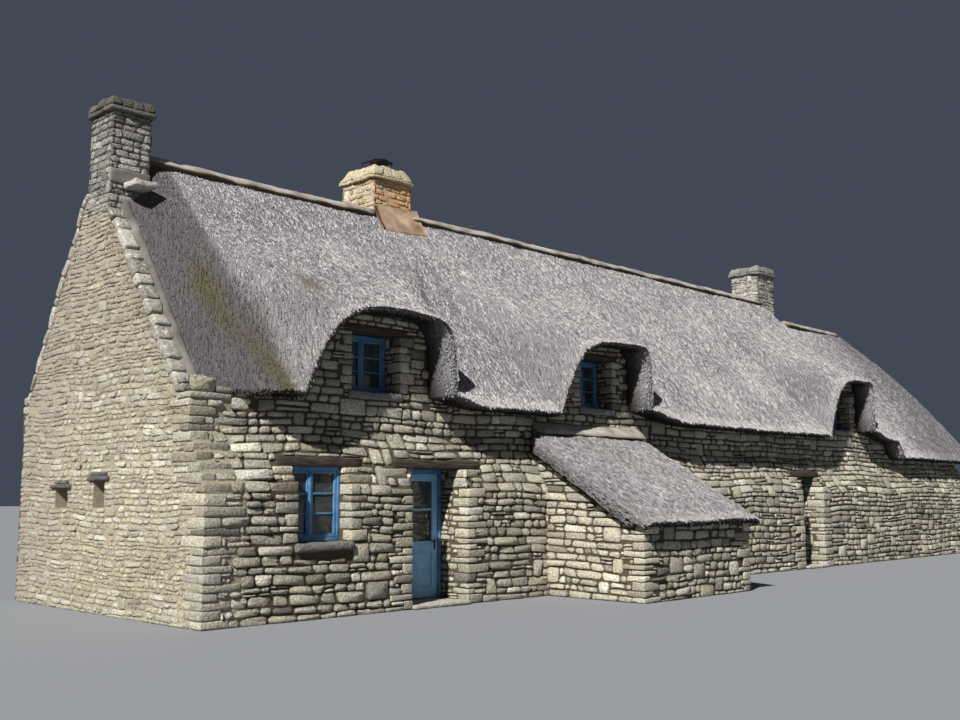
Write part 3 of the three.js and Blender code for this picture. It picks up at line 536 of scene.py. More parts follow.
class Shape:
  """One joined mesh in the making, with tint, stain, moss and grime values per point; grime holds joint dirt
  on stone and painted shade on thatch.
  """

  def __init__(self) -> None:
    """Starts empty."""
    self.points: list[Array] = []
    self.values: list[Array] = []
    self.corners: list[Array] = []
    self.sizes: list[Array] = []
    self.count = 0

  def add(self, points: Array, faces: Array, tint: Amount = 0.5, stain: Amount = 0.0, moss: Amount = 0.0,
          joint_dirt_and_shade: Amount = 0.0) -> None:
    """Adds points and faces of one size.

    Args:
      points: rows of house metres.
      faces: rows of corner numbers, counted within these points.
      tint: own tone, nought to one.
      stain: damp, soot or soil; on the mortar pieces, painted shade under their edges.
      moss: growth.
      joint_dirt_and_shade: dirt of the joints, and painted shade on the thatch's under side, lip and deep
          straws.
    """
    values = np.empty((len(points), 4))
    values[:, 0], values[:, 1], values[:, 2], values[:, 3] = tint, stain, moss, joint_dirt_and_shade
    self.points.append(np.asarray(points, float))
    self.values.append(values)
    self.count += len(points)
    self.more(faces)

  def more(self, faces: Array) -> None:
    """Adds faces, all of one size, to the points added last."""
    faces = np.asarray(faces, np.int64) + (self.count - len(self.points[-1]))
    self.corners.append(faces.reshape(-1))
    self.sizes.append(np.full(len(faces), faces.shape[1]))

  def loft(self, rings: Array, tint: float = 0.5, stain: Amount = 0.0) -> None:
    """Adds a closed bar with its two ends.

    Args:
      rings: ring by ring, the points around the bar.
      tint, stain: its tone, and the stain value, which the mortar uses for painted shade under its edges.
    """
    count, per = rings.shape[:2]
    last = (count - 1) * per
    self.add(rings.reshape(-1, 3), grid_faces(count, per, closed=True)[:, ::-1], tint, stain)
    self.more([list(range(per)), list(range(last + per - 1, last - 1, -1))])

  def plate(self, top: Array, low: Array, rows: int, tint: float = 0.5, stain: Amount = 0.0) -> None:
    """Adds a plate between two grids of points, closed around its rim.

    Args:
      top, low: upper and lower points, row by row.
      rows: number of rows.
      tint, stain: its tone, and the stain value, which the mortar uses for painted shade under its edges.
    """
    n = len(top)
    faces = grid_faces(rows, n // rows)
    self.add(np.concatenate([top, low]), np.concatenate([faces, faces[:, ::-1] + n]), tint, stain)
    grid = np.arange(n).reshape(rows, -1)
    rim = np.concatenate([grid[::-1, 0], grid[0, 1:], grid[1:, -1], grid[-1, -2::-1]])
    self.more(np.stack([rim[:-1], rim[1:], rim[1:] + n, rim[:-1] + n], axis=1))

  def build(self, name: str, cloth: Cloth, slot: str, replaces: str = "", body: str = "root",
            flat: bool = False) -> None:
    """Makes the object, gives it its finish and lets it ride.

    Args:
      name: the piece's name.
      cloth: its finish.
      slot: the record's material slot, or nothing; it is not given to the piece, and is read only to leave
          the thatch unclipped.
      replaces: the CAD node that it stands for, or nothing.
      body: the body that carries it.
      flat: keeps the faces' edges sharp.
    """
    points = np.concatenate(self.points) + HOUSE_ORIGIN
    if slot != "thatch":
      points = np.clip(points, CAD_BOX[0], CAD_BOX[1])
    corners, sizes = np.concatenate(self.corners), np.concatenate(self.sizes)
    mesh = bpy.data.meshes.new(name)
    mesh.vertices.add(len(points))
    mesh.vertices.foreach_set("co", points.astype(np.float32).ravel())
    mesh.loops.add(len(corners))
    mesh.loops.foreach_set("vertex_index", corners.astype(np.int32))
    mesh.polygons.add(len(sizes))
    mesh.polygons.foreach_set("loop_start", (np.cumsum(sizes) - sizes).astype(np.int32))
    mesh.polygons.foreach_set("use_smooth", np.full(len(sizes), not flat))
    mesh.update(calc_edges=True)
    mesh.validate()
    for key, column in zip(VALUES, np.concatenate(self.values).T):
      layer = mesh.attributes.new(key, "FLOAT", "POINT")
      layer.data.foreach_set("value", column.astype(np.float32))
    made = placed(name, mesh)
    mesh.materials.append(material(cloth))
    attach(made, body)
    if replaces:
      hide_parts(replaces)
    log.info("%s: %d triangles", name, int((sizes - 2).sum()))


def grid_faces(rows: int, columns: int, closed: bool = False) -> Array:
  """Gives the quads of a grid whose points run row by row.

  Args:
    rows: number of rows.
    columns: points in a row.
    closed: joins the last column to the first.

  Returns:
    Rows of four corner numbers.
  """
  r = np.arange(rows - 1)[:, None]
  c = np.arange(columns if closed else columns - 1)[None, :]
  n = (c + 1) % columns
  return np.stack([r * columns + c, r * columns + n, (r + 1) * columns + n, (r + 1) * columns + c],
                  -1).reshape(-1, 4)


@cache
def block_lattice(cells: tuple[int, int, int]) -> tuple[Array, Array]:
  """Gives a block's surface points and quads.

  Args:
    cells: lattice cells along each axis.

  Returns:
    The points in whole steps, and rows of four corner numbers.
  """
  found: dict[tuple[int, ...], int] = {}
  quads = []
  for axis in range(3):
    a, b = (axis + 1) % 3, (axis + 2) % 3
    for side in (0, cells[axis]):
      for i, j in np.ndindex(cells[a], cells[b]):
        quad = []
        for di, dj in ((0, 0), (1, 0), (1, 1), (0, 1)):
          key = [0, 0, 0]
          key[axis], key[a], key[b] = side, i + di, j + dj
          quad.append(found.setdefault(tuple(key), len(found)))
        quads.append(quad if side else quad[::-1])
  return np.array(list(found)), np.array(quads)


@dataclass
class Mason:
  """Makes rounded, slightly uneven blocks: stones, beams and bars."""

  EDGE_PULL = (0.29, 0.42)
  seed: int
  rough: float = 0.006
  wavelength: float = 0.12

  def __post_init__(self) -> None:
    """Draws the unevenness."""
    self.rng = np.random.default_rng(self.seed)
    self.ripples = [Ripple(self.seed * 7 + k, self.wavelength) for k in range(3)]

  def bars(self, shape: Shape, spans: list[tuple], radius: float = 0.004) -> None:
    """Adds blocks, each given by its x0, x1, y0, y1, z0 and z1."""
    for x0, x1, y0, y1, z0, z1 in spans:
      self.block(shape, (x0, y0, z0), (x1, y1, z1), radius=radius)

  def block(self, shape: Shape, low: Point, high: Point, radius: float = 0.01,
            cells: tuple[int, int, int] = (3, 3, 3), tint: float | None = None, moss: float = 0.0,
            bend: Callable[[Array], Array] | None = None, skew: float = 0.0) -> None:
    """Adds one block to a shape.

    Args:
      shape: the mesh.
      low, high: lowest and highest corner.
      radius: rounding of its edges.
      cells: lattice cells along each axis, three or more.
      tint: its tone, or drawn at random.
      moss: growth.
      bend: moves the finished points, as when the block follows a slope.
      skew: how far its corners are out of square, in metres.
    """
    steps, quads = block_lattice(cells)
    low_a, high_a = np.array(low, float), np.array(high, float)
    half = (high_a - low_a) / 2
    r = np.minimum(radius / np.maximum(half, 1e-6), 0.6)
    n = np.array(cells)
    inner = (steps - 1) / np.maximum(n - 2, 1)
    c = np.where(steps == 0, -1.0, np.where(steps == n, 1.0, (inner * 2 - 1) * (1 - r)))
    outer = np.abs(c) > 0.9999
    pull = np.array([0.0, 0.0, *self.EDGE_PULL])[outer.sum(axis=1)][:, None]
    c = np.where(outer, np.sign(c) * (1 - pull * r), c)
    points = (low_a + high_a) / 2 + c * half
    for corner in np.ndindex(2, 2, 2) if skew else ():
      share = np.prod(np.where(corner, 1 + c, 1 - c) / 2, axis=1)
      points = points + share[:, None] * self.rng.uniform(-skew, skew, 3)
    if self.rough > 0:
      points = points + self.rough * np.stack([ripple.at(points) for ripple in self.ripples], axis=1)
    if bend is not None:
      points = bend(points)
    shape.add(points, quads, self.rng.random() if tint is None else tint, 0.0, moss)


# The roof's form


@dataclass(frozen=True)
class Arch:
  """Where the eave rises over a dormer window, along x."""

  foot0: float
  crown: float
  foot1: float
  toe: float
  rise: float


@dataclass(frozen=True)
class RoofForm:
  """The thatch's surfaces, as the CAD has them."""

  length: float = 23.75
  rear_face: float = 4.67
  ridge_y: float = 2.5
  high_ridge: float = 6.49
  west_sag: float = 0.09
  gable_sink: float = 0.45
  low_drop: float = 0.4
  eave_level: float = 2.88
  eave_reach: float = 0.42
  rear_eave_y: float = 5.05
  gable_edge: float = 0.3
  thickness: float = 0.56
  soffit_fall: float = 0.06
  hip_swell: float = 0.25
  hip_ridge_end: float = 22.1
  eave_east: float = 24.16
  toe_share: float = 0.16
  arch_spread: float = 0.6
  arch_fade: float = 2.2
  arch_squareness: float = 4.5
  arch_drop: float = 0.35
  arches: tuple[Arch, ...] = (
      Arch(1.39, 3.29, 3.92, 4.9, 1.255),
      Arch(6.45, 8.47, 8.78, 10.3, 1.295),
      Arch(15.72, 17.61, 17.82, 19.1, 1.325),
  )

  def gable_dip(self, x: Array) -> Array:
    """Share of the sinking towards the gable's coping."""
    return 1 - smooth((x - self.gable_edge) / 0.95)

  def arch_lift(self, x: Array, spread: Amount = 0.0) -> Array:
    """Lift of the eave line at x.

    Args:
      x: places along the house.
      spread: how much wider the arch has grown up the slope.

    Returns:
      The lift in metres.
    """
    lift = np.zeros(np.broadcast(x, spread).shape)
    drop = lerp(self.arch_drop, 1.0, smooth(np.asarray(spread) / 0.2))
    for a in self.arches:
      back = np.clip((a.crown - x) / (a.crown - a.foot0 + spread), 0, 1)
      on = np.clip((x - a.crown) / (a.foot1 - a.crown + spread), 0, 1)
      side = 1 - back**self.arch_squareness
      west = 1.06 * side**2 / (side + 0.06)
      flank = (1 - on**self.arch_squareness) ** drop
      run = 1 - smooth((x - a.crown) / (a.toe - a.crown + spread))
      east = lerp(flank, run, self.toe_share)
      lift = np.where((lift == 0) & (west > 0) & (east > 0), a.rise * west * east, lift)
    return lift

  def eave(self, x: Array) -> Tones:
    """Front eave at x: its y, its z and the lift within it.

    Args:
      x: places along the house.
    """
    dip = self.gable_dip(x)
    lift = self.arch_lift(x)
    drop = self.low_drop * smooth((x - 19.15) / 0.5)
    return -self.eave_reach + 0.67 * dip, self.eave_level + 0.06 * dip - drop + lift, lift

  def cap_height(self, x: Array) -> Array:
    """Ridge line under the mortar cap."""
    drop = self.low_drop * smooth((x - 17.9) / 1.1)
    return self.high_ridge - self.west_sag * (1 - smooth((x - 3.6) / 3.2)) - drop

  def past_ridge(self, x: Array, end: float) -> Array:
    """Share of the way from the ridge's east end to where the hip ends."""
    return np.clip((x - self.hip_ridge_end) / (end - self.hip_ridge_end), 0, 1)

  def ridge_height(self, x: Array) -> Array:
    """Top of the thatch under the ridge."""
    return self.cap_height(x) - self.gable_sink * (1 - smooth((x - self.gable_edge) / 0.42))

  def swell(self, x: Amount, share: Array) -> Array:
    """Belly of the slopes by the hip."""
    return self.hip_swell * smooth((x - 19.8) / 2.0) * np.sin(np.pi * share)

  def arch_share(self, run: Array) -> Array:
    """Share of an arch's lift left at a run up the slope."""
    return np.maximum(1 - np.maximum(run, 0) / self.arch_fade, 0) ** 1.25

  def front_top(self, x: Array, y: Array) -> Array:
    """Upper side of the front slope.

    Args:
      x, y: places in house metres.

    Returns:
      Heights.
    """
    eave_y, eave_z, lift = self.eave(x)
    run = y - eave_y
    share = run / (self.ridge_y - eave_y)
    arch = self.arch_lift(x, run * self.arch_spread) * self.arch_share(run)
    return lerp(eave_z - lift, self.ridge_height(x), share) + arch + self.swell(x, share)

  def soffit_foot(self, x: Array) -> Array:
    """Where the soffit meets the wall."""
    return np.maximum(0.0, self.eave(x)[0] + 0.04)

  def front_under(self, x: Array, y: Array) -> Array:
    """Under side of the front slope, behind the wall's face.

    Args:
      x, y: places in house metres.

    Returns:
      Heights.
    """
    _, eave_z, lift = self.eave(x)
    foot = self.soffit_foot(x)
    base = eave_z - lift - self.soffit_fall * (1 + self.gable_dip(x))
    run = y - foot
    arch = self.arch_lift(x, np.maximum(run, 0) * self.arch_spread) * self.arch_share(run)
    return lerp(base, self.ridge_height(x) - self.thickness, run / (self.ridge_y - foot)) + arch

  def rear_edge(self, x: Array) -> tuple[Array, Array]:
    """Rear eave at x: its y and its z."""
    dip = self.gable_dip(x)
    drop = self.low_drop * smooth((x - 19.15) / 0.5)
    return self.rear_eave_y - 0.33 * dip, self.eave_level - drop - 0.13 * dip

  def rear_top(self, x: Array, y: Array) -> Array:
    """Upper side of the rear slope.

    Args:
      x, y: places in house metres.

    Returns:
      Heights.
    """
    edge_y, edge_z = self.rear_edge(x)
    share = (y - self.ridge_y) / (edge_y - self.ridge_y)
    return lerp(self.ridge_height(x), edge_z, share) + self.swell(x, share)

  def rear_under(self, x: Array, y: Array) -> Array:
    """Under side of the rear slope.

    Args:
      x, y: places in house metres.

    Returns:
      Heights.
    """
    foot = self.rear_edge(x)[1] - self.soffit_fall - 0.15 * self.gable_dip(x)
    share = (y - self.ridge_y) / (self.rear_face - self.ridge_y)
    return lerp(self.ridge_height(x) - self.thickness, foot, share)


ROOF = RoofForm()


@dataclass(frozen=True)
class Stack:
  """Plan and heights of a chimney, and the growth, taper and tone of its cap."""

  x0: float
  x1: float
  y0: float
  y1: float
  seen_from: float
  shaft: float
  cap: float
  moss: float
  taper: float
  tint: float


STACKS = {
    "west": Stack(0.0, 0.57, 2.27, 2.88, 5.45, 6.9, 7.12, 0.8, 0.04, 0.12),
    "middle": Stack(4.9, 5.74, 2.45, 3.3, 5.75, 7.0, 7.29, 0.1, 0.12, 0.45),
    "east": Stack(17.8, 18.58, 2.45, 3.21, 5.7, 7.2, 7.44, 0.3, 0.06, 0.3),
}


def in_stack(points: Array, margin: float) -> Array:
  """Says which points lie within a chimney's plan, grown by a margin.

  Args:
    points: house metres.
    margin: how much wider the plan is taken, in metres.

  Returns:
    True or false for each point.
  """
  x, y = points[..., 0], points[..., 1]
  plans = [(x > s.x0 - margin) & (x < s.x1 + margin) & (y > s.y0 - margin) & (y < s.y1 + margin)
           for s in STACKS.values()]
  return np.any(plans, axis=0)


# Thatch


@dataclass
class Slope:
  """One slope of thatch: its coat, the straw on it and the ragged rim."""

  name: str
  columns: Array
  rows: int = 46
  seed: int = 1
  straws: int = 10000
  straw_length: Pair = (0.09, 0.2)
  straw_width: Pair = (0.012, 0.03)
  rim: int = 0
  flank_bulge: float = 0.07

  def __post_init__(self) -> None:
    """Draws the slope's unevenness."""
    self.rng = np.random.default_rng(self.seed)
    self.hump = Ripple(self.seed + 11, 1.1)
    self.lump = Ripple(self.seed + 12, 0.3)
    self.cloud = Ripple(self.seed + 13, 1.6)
    self.streak = Ripple(self.seed + 14, 0.35)

  def top(self, u: Array, t: Array) -> Array:
    """Point of the upper side at a place u along and a share t from eave to crest."""
    raise NotImplementedError

  def under(self, u: Array, t: Array) -> Array:
    """Point of the under side."""
    raise NotImplementedError

  def weather(self, points: Array, tint: Array) -> Tones:
    """Tone, damp and moss of straw at these places, from its own tone."""
    return tint, np.zeros(len(points)), np.zeros(len(points))

  def raised(self, u: Array, t: Array) -> Array:
    """Point of the upper side with its small humps and lumps.

    Args:
      u, t: places along the slope and shares from eave to crest.

    Returns:
      Rows of points.
    """
    points = self.top(u, t)
    points[:, 2] += 0.014 * self.hump.at(points) + 0.006 * self.lump.at(points)
    return points

  def drawn(self, count: int, *spans: Pair) -> Array:
    """Draws sizes between these bounds, a column for each."""
    return np.stack([self.rng.uniform(*span, count) for span in spans], axis=1)

  def lip(self, rim: Array, foot: Array) -> Array:
    """Rounds the cut ends of the reed, from the wall's face out to the rim.

    Args:
      rim: points of the coat's lower edge.
      foot: points where its under side meets the wall.

    Returns:
      For each point of the rim, a row of points from wall to rim.
    """
    cross = unit(np.cross(np.gradient(lerp(rim, foot, 0.25), axis=0), foot - rim))
    out = cross * -np.sign(np.median(cross[:, 2]))
    share = np.array([0.86, 0.68, 0.48, 0.3, 0.15, 0.05])[None, :, None]
    rows = lerp(rim[:, None], foot[:, None], share)
    bulge = (0.035 + self.flank_bulge * np.abs(out[:, :1]))[:, None] * np.sin(np.pi * share**0.62) ** 0.8
    rows = rows + out[:, None] * bulge
    flat = rows.reshape(-1, 3)
    rows = rows + out[:, None] * (0.008 * self.lump.at(flat)).reshape(rows.shape[:2])[..., None]
    self.edge = (rim, rows, out)
    return rows

  def coat(self) -> Shape:
    """Makes the closed coat of thatch under the loose straw."""
    columns, rows, under_rows = self.columns, self.rows, 8
    n = len(columns)
    u = np.repeat(columns, rows)
    top = self.raised(u, np.tile(np.linspace(0, 1, rows) ** 1.25, n)).reshape(n, rows, 3)
    under = self.under(np.repeat(columns, under_rows), np.tile(np.linspace(1, 0, under_rows), n))
    under = under.reshape(n, under_rows, 3)
    ring = np.concatenate([top, under, self.lip(top[:, 0], under[:, -1])], axis=1)
    per = ring.shape[1]
    points = ring.reshape(-1, 3)
    keep = grid_faces(n, per, closed=True)
    a, b, c, d = (points[keep[:, k]] for k in range(4))
    volume = (np.cross(b - a, c - a) * a).sum() + (np.cross(c - a, d - a) * a).sum()
    ends = np.array([list(range(per - 1, -1, -1)), list(range((n - 1) * per, n * per))])
    if volume < 0:
      keep, ends = keep[:, ::-1], ends[:, ::-1]
    keep = keep[~in_stack(points[keep].mean(axis=1), -0.05)]
    tint, stain, moss = self.weather(points, 0.32 + 0.1 * self.cloud.at(points))
    # Painted shade: the under side and the lip under the eave take the dark brown under colour, lifted where
    # the lip faces the key light in the west
    dark = np.zeros(per)
    dark[rows:] = 1.0
    dark[-3:] = (0.85, 0.6, 0.35)
    shade = np.tile(dark, (n, 1))
    shade[:, -6:] *= 1 - self.lit(self.edge[2])[:, None] * np.array([0.1, 0.35, 0.75, 1.0, 1.0, 1.0])
    shape = Shape()
    shape.add(points, keep, tint, stain, moss, shade.ravel())
    shape.more(ends)
    return shape

  def lit(self, facing: Array) -> Array:
    """How far a part of the lip faces the west, towards the key light, where its painted shade is lifted."""
    return smooth((-facing[:, 0] - 0.25) / 0.5)

  def sample(self, count: int) -> tuple[Array, Array]:
    """Draws places spread evenly over the slope's area.

    Args:
      count: how many.

    Returns:
      Places u and shares t.
    """
    edges_u = np.unique(np.concatenate([np.linspace(self.columns[0], self.columns[-1], 300), self.columns]))
    edges_t = np.linspace(0, 1, 60)
    grid = self.top(np.repeat(edges_u, 60), np.tile(edges_t, len(edges_u))).reshape(-1, 60, 3)
    side_u = grid[1:, :-1] - grid[:-1, :-1]
    side_t = grid[:-1, 1:] - grid[:-1, :-1]
    area = np.linalg.norm(np.cross(side_u, side_t), axis=2).ravel()
    # Even steps through the summed area keep the straws from bunching
    steps = (np.arange(count) + self.rng.random(count)) / count * area.sum()
    cell = np.minimum(np.searchsorted(np.cumsum(area), steps), len(area) - 1)
    i, j = cell // 59, cell % 59
    u = lerp(edges_u[i], edges_u[i + 1], self.rng.random(count))
    t = lerp(edges_t[j], edges_t[j + 1], self.rng.random(count))
    return u, t

  def lay(self, shape: Shape, u: Array, t: Array, reach: float, lift: float, tint: Array) -> None:
    """Lays one straw bundle at each place, butt end down the slope.

    Args:
      shape: the mesh.
      u, t: places along the slope and shares from eave to crest.
      reach: share of each bundle that lies below its place.
      lift: how far the butt end stands proud, in metres.
      tint: tones.
    """
    step = 0.002
    here = self.raised(u, t)
    along = unit(self.raised(u + step, t) - here)
    down = unit(self.raised(u, np.maximum(t - step, 0)) - self.raised(u, np.maximum(t - step, 0) + step))
    normal = unit(np.cross(along, -down))
    normal = np.where(normal[:, 2:3] < 0, -normal, normal)
    fall = np.zeros_like(normal)
    fall[:, 2] = -1
    fall = unit(fall - normal * (fall * normal).sum(axis=1, keepdims=True))
    count = len(u)
    side = np.cross(normal, down)
    lean = self.rng.normal(0, 0.13, (count, 1))
    way = unit(0.6 * down + 0.4 * fall + side * lean)
    sizes = self.drawn(count, self.straw_length, self.straw_width, (0.5 * lift, 1.5 * lift))
    self.spikes(shape, here, way, normal, sizes, reach, tint, 0.0)

  def spikes(self, shape: Shape, here: Array, way: Array, normal: Array, sizes: Array,
             reach: float, tint: Array, joint_dirt_and_shade: Amount) -> None:
    """Adds straw bundles as slim wedges.

    Args:
      shape: the mesh.
      here: their places.
      way: where their butt ends point.
      normal: directions out of the thatch.
      sizes: length, width and stand of each, in metres.
      reach: share of each bundle that lies below its place.
      tint: tones.
      joint_dirt_and_shade: painted shade, how dark each straw is drawn for lying deep in the lip or verge.
    """
    side = unit(np.cross(normal, way))
    length, width, proud = sizes[:, :1], sizes[:, 1:2], sizes[:, 2:]
    head = here - way * length * (1 - reach) - normal * 0.004
    butt = here + way * length * reach
    left = butt + side * width / 2 + normal * (proud * 0.25 - 0.004)
    right = butt - side * width / 2 + normal * (proud * 0.25 - 0.004)
    crown = butt - way * length * 0.06 + normal * proud
    points = np.stack([head, left, right, crown], axis=1)
    solid = ~in_stack(points, 0.02).any(axis=1)
    dark = np.repeat(np.broadcast_to(joint_dirt_and_shade, len(here))[solid], 4)
    points, tint = points[solid].reshape(-1, 3), np.repeat(tint[solid], 4)
    start = np.arange(len(points) // 4)[:, None, None] * 4
    faces = (start + np.array([[0, 1, 3], [0, 3, 2], [1, 2, 3], [0, 2, 1]])[None]).reshape(-1, 3)
    tone, stain, moss = self.weather(points, tint)
    shape.add(points, faces, tone, stain, moss, dark)

  def fringe(self, shape: Shape, low: float, high: float) -> None:
    """Lets cut reed ends stand out of the rounded lip.

    Args:
      shape: the mesh.
      low, high: lowest and highest u.
    """
    rim, rows, out = self.edge
    full = np.concatenate([rows, rim[:, None]], axis=1)
    count = self.rim
    steps = np.concatenate([[0], np.cumsum(np.linalg.norm(np.diff(rim, axis=0), axis=1))])
    place = np.interp(self.rng.random(count) * steps[-1], steps, np.arange(len(rim)))
    i = np.minimum(place.astype(int), len(rim) - 2)
    share = (place - i)[:, None]
    depth = self.rng.random(count) ** 1.3 * 5.0
    k = np.minimum(depth.astype(int), 5)
    near = lerp(full[i, 6 - k], full[i + 1, 6 - k], share)
    far = lerp(full[i, 5 - k], full[i + 1, 5 - k], share)
    here = lerp(near, far, (depth - k)[:, None])
    facing = unit(lerp(out[i], out[i + 1], share))
    outward = unit(rim[i] - rows[i, 0]) * np.array([1.0, 1.0, 0.0])
    way = unit(np.array([0.0, 0.0, -1.0]) + 0.35 * facing + self.rng.normal(0, 0.16, (count, 3)))
    normal = facing + 0.8 * outward
    normal = unit(normal - way * (normal * way).sum(axis=1, keepdims=True))
    sizes = self.drawn(count, (0.05, 0.11), (0.012, 0.026), (0.004, 0.014))
    u = lerp(self.columns[i], self.columns[i + 1], share[:, 0])
    chosen = (u >= low) & (u < high)
    tint = np.clip(self.rng.normal(0.5, 0.22, count), 0, 1)
    # Painted shade: straws set deeper in the lip are darker, less so where the lip faces the key light
    dark = np.clip((depth - 0.6) / 2.2, 0, 0.95) * (1 - self.lit(facing) * np.clip(1.9 - depth / 2.8, 0, 1))
    self.spikes(shape, here[chosen], way[chosen], normal[chosen], sizes[chosen], 0.45, tint[chosen],
                dark[chosen])

  def straw(self, low: float = -1e9, high: float = 1e9) -> Shape:
    """Makes the loose straw of the slope between two places along it.

    Args:
      low, high: lowest and highest u.

    Returns:
      The mesh of the straw.
    """
    shape = Shape()
    u, t = self.all_places
    chosen = (u >= low) & (u < high)
    u, t = u[chosen], t[chosen]
    here = self.top(u, t)
    drawn = here * np.array([1.0, 0.12, 0.12])
    tone = 0.5 + 0.06 * self.streak.at(drawn) + 0.05 * self.cloud.at(here)
    tone += self.rng.normal(0, 0.24, len(u))
    self.lay(shape, u, t, 0.5, 0.013, np.clip(tone, 0, 1))
    edge_u, edge_t = self.rim_places
    chosen = (edge_u >= low) & (edge_u < high)
    if chosen.any():
      tone = np.clip(0.72 + self.rng.normal(0, 0.2, chosen.sum()), 0, 1)
      self.lay(shape, edge_u[chosen], edge_t[chosen], 0.3, 0.012, tone)
    self.fringe(shape, low, high)
    return shape

  def scatter(self) -> None:
    """Draws all places of straw once, so that parts of the slope share them."""
    self.all_places = self.sample(self.straws)
    rim = self.top(self.columns, np.zeros(len(self.columns)))
    steps = np.concatenate([[0], np.cumsum(np.linalg.norm(np.diff(rim, axis=0), axis=1))])
    u = np.interp(self.rng.random(self.rim) * steps[-1], steps, self.columns)
    self.rim_places = (u, self.rng.random(self.rim) ** 2 * 0.035)

  def dress(self, splits: tuple[float, ...] = ()) -> None:
    """Builds the coat and the straw.

    Args:
      splits: places u where the straw is parted into pieces.
    """
    self.scatter()
    self.coat().build(f"{self.name}_coat", Cloth.THATCH, "thatch", self.name)
    bounds = [-1e9, *splits, 1e9]
    for number, (low, high) in enumerate(zip(bounds, bounds[1:])):
      end = f"_{number + 1}" if splits else ""
      self.straw(low, high).build(f"{self.name}_straw{end}", Cloth.THATCH, "thatch", flat=True)


class FrontSlope(Slope):
  """The front slope with its three arches."""

  def top(self, u: Array, t: Array) -> Array:
    """Point of the upper side.

    Args:
      u, t: places along the slope and shares from eave to crest.

    Returns:
      Rows of points.
    """
    run = ROOF.past_ridge(u, ROOF.eave_east)
    crest = lerp(ROOF.ridge_y, -ROOF.eave_reach, run)
    edge = ROOF.eave(u)[0]
    y = lerp(edge, crest, t)
    x = u + self.flare(u) * np.exp(-(y - edge) / 0.35)
    return xyz(x, y, ROOF.front_top(u, y))

  def flare(self, u: Array) -> Array:
    """How far the rim leans east past the wall's edge of an arch."""
    lean = np.zeros(len(u))
    for arch in ROOF.arches:
      lean += smooth((u - arch.crown) / (arch.foot1 - arch.crown)) * (1 - smooth((u - arch.foot1) / 0.75))
    return 0.2 * lean

  def under(self, u: Array, t: Array) -> Array:
    """Point of the under side.

    Args:
      u, t: places along the slope and shares from eave to crest.

    Returns:
      Rows of points.
    """
    run = ROOF.past_ridge(u, ROOF.length)
    foot = ROOF.soffit_foot(u)
    y = lerp(foot, np.maximum(lerp(ROOF.ridge_y, 0.0, run), foot + 0.001), t)
    x = np.minimum(u, ROOF.length + 0.2)
    return xyz(x, y, ROOF.front_under(u, y))

  def weather(self, points: Array, tint: Array) -> Tones:
    """Tone, damp and moss: dark and mossy by the west gable, clear elsewhere."""
    x, y = points[:, 0], points[:, 1]
    edge = 1.2 - 0.13 * y
    streak = self.streak.at(points * np.array([1.0, 0.12, 0.12]))
    near = 1 - smooth((x - edge + 0.09 - 0.07 * streak) / 0.18)
    stripe = np.exp(-(((x - 1.05 + 0.33 * y) / 0.15) ** 2)) * smooth((1.45 - y) / 0.4)
    spot = np.exp(-((x - 1.95) ** 2 / 0.05 + (y - 0.3) ** 2 / 0.06))
    moss = np.clip((stripe + 0.7 * spot) * (0.75 + 0.45 * streak), 0, 0.9)
    return tint - 0.44 * smooth((x - 20.0) / 2.5) - 0.1 * near, 0.72 * near, moss


class RearSlope(Slope):
  """The rear slope, plain from end to end."""

  def top(self, u: Array, t: Array) -> Array:
    """Point of the upper side.

    Args:
      u, t: places along the slope and shares from eave to crest.

    Returns:
      Rows of points.
    """
    run = ROOF.past_ridge(u, ROOF.eave_east)
    edge = ROOF.rear_edge(u)[0]
    y = lerp(edge, lerp(ROOF.ridge_y, edge, run), t)
    return xyz(u, y, ROOF.rear_top(u, y))

  def under(self, u: Array, t: Array) -> Array:
    """Point of the under side.

    Args:
      u, t: places along the slope and shares from eave to crest.

    Returns:
      Rows of points.
    """
    run = ROOF.past_ridge(u, ROOF.length)
    y = lerp(ROOF.rear_face, np.minimum(lerp(ROOF.ridge_y, ROOF.rear_face, run), ROOF.rear_face - 0.001), t)
    return xyz(np.minimum(u, ROOF.length + 0.2), y, ROOF.rear_under(u, y))

  def weather(self, points: Array, tint: Array) -> Tones:
    """Tone, damp and moss: the shaded side grows more moss."""
    streak = self.streak.at(points * np.array([1.0, 0.15, 0.15]))
    moss = np.clip(0.35 * self.cloud.at(points) + 0.25 * streak - 0.12, 0, 0.5)
    return tint - 0.08, np.full(len(points), 0.12), moss


class HipSlope(Slope):
  """The hipped east end; u runs from the front hip line to the rear one."""

  def across(self, u: Array, x: Array, z: Array) -> Array:
    """Point at a share u across the hip."""
    wide = (x - ROOF.hip_ridge_end) / (ROOF.eave_east - ROOF.hip_ridge_end)
    front, rear = (lerp(ROOF.ridge_y, eave_y, wide) for eave_y in (-ROOF.eave_reach, ROOF.rear_eave_y))
    return xyz(x, lerp(front, rear, u), z)

  def top(self, u: Array, t: Array) -> Array:
    """Point of the upper side.

    Args:
      u, t: places along the slope and shares from eave to crest.

    Returns:
      Rows of points.
    """
    s, east = 1 - t, np.full(len(u), ROOF.eave_east)
    z = lerp(ROOF.ridge_height(east), ROOF.eave(east)[1], s) + ROOF.swell(ROOF.length, s)
    return self.across(u, lerp(ROOF.hip_ridge_end, ROOF.eave_east, s), z)

  def under(self, u: Array, t: Array) -> Array:
    """Point of the under side.

    Args:
      u, t: places along the slope and shares from eave to crest.

    Returns:
      Rows of points.
    """
    s, east = 1 - t, np.full(len(u), ROOF.eave_east)
    z = lerp(ROOF.ridge_height(east) - ROOF.thickness, ROOF.eave(east)[1] - ROOF.soffit_fall, s)
    return self.across(u, lerp(ROOF.hip_ridge_end, ROOF.length, s), z)


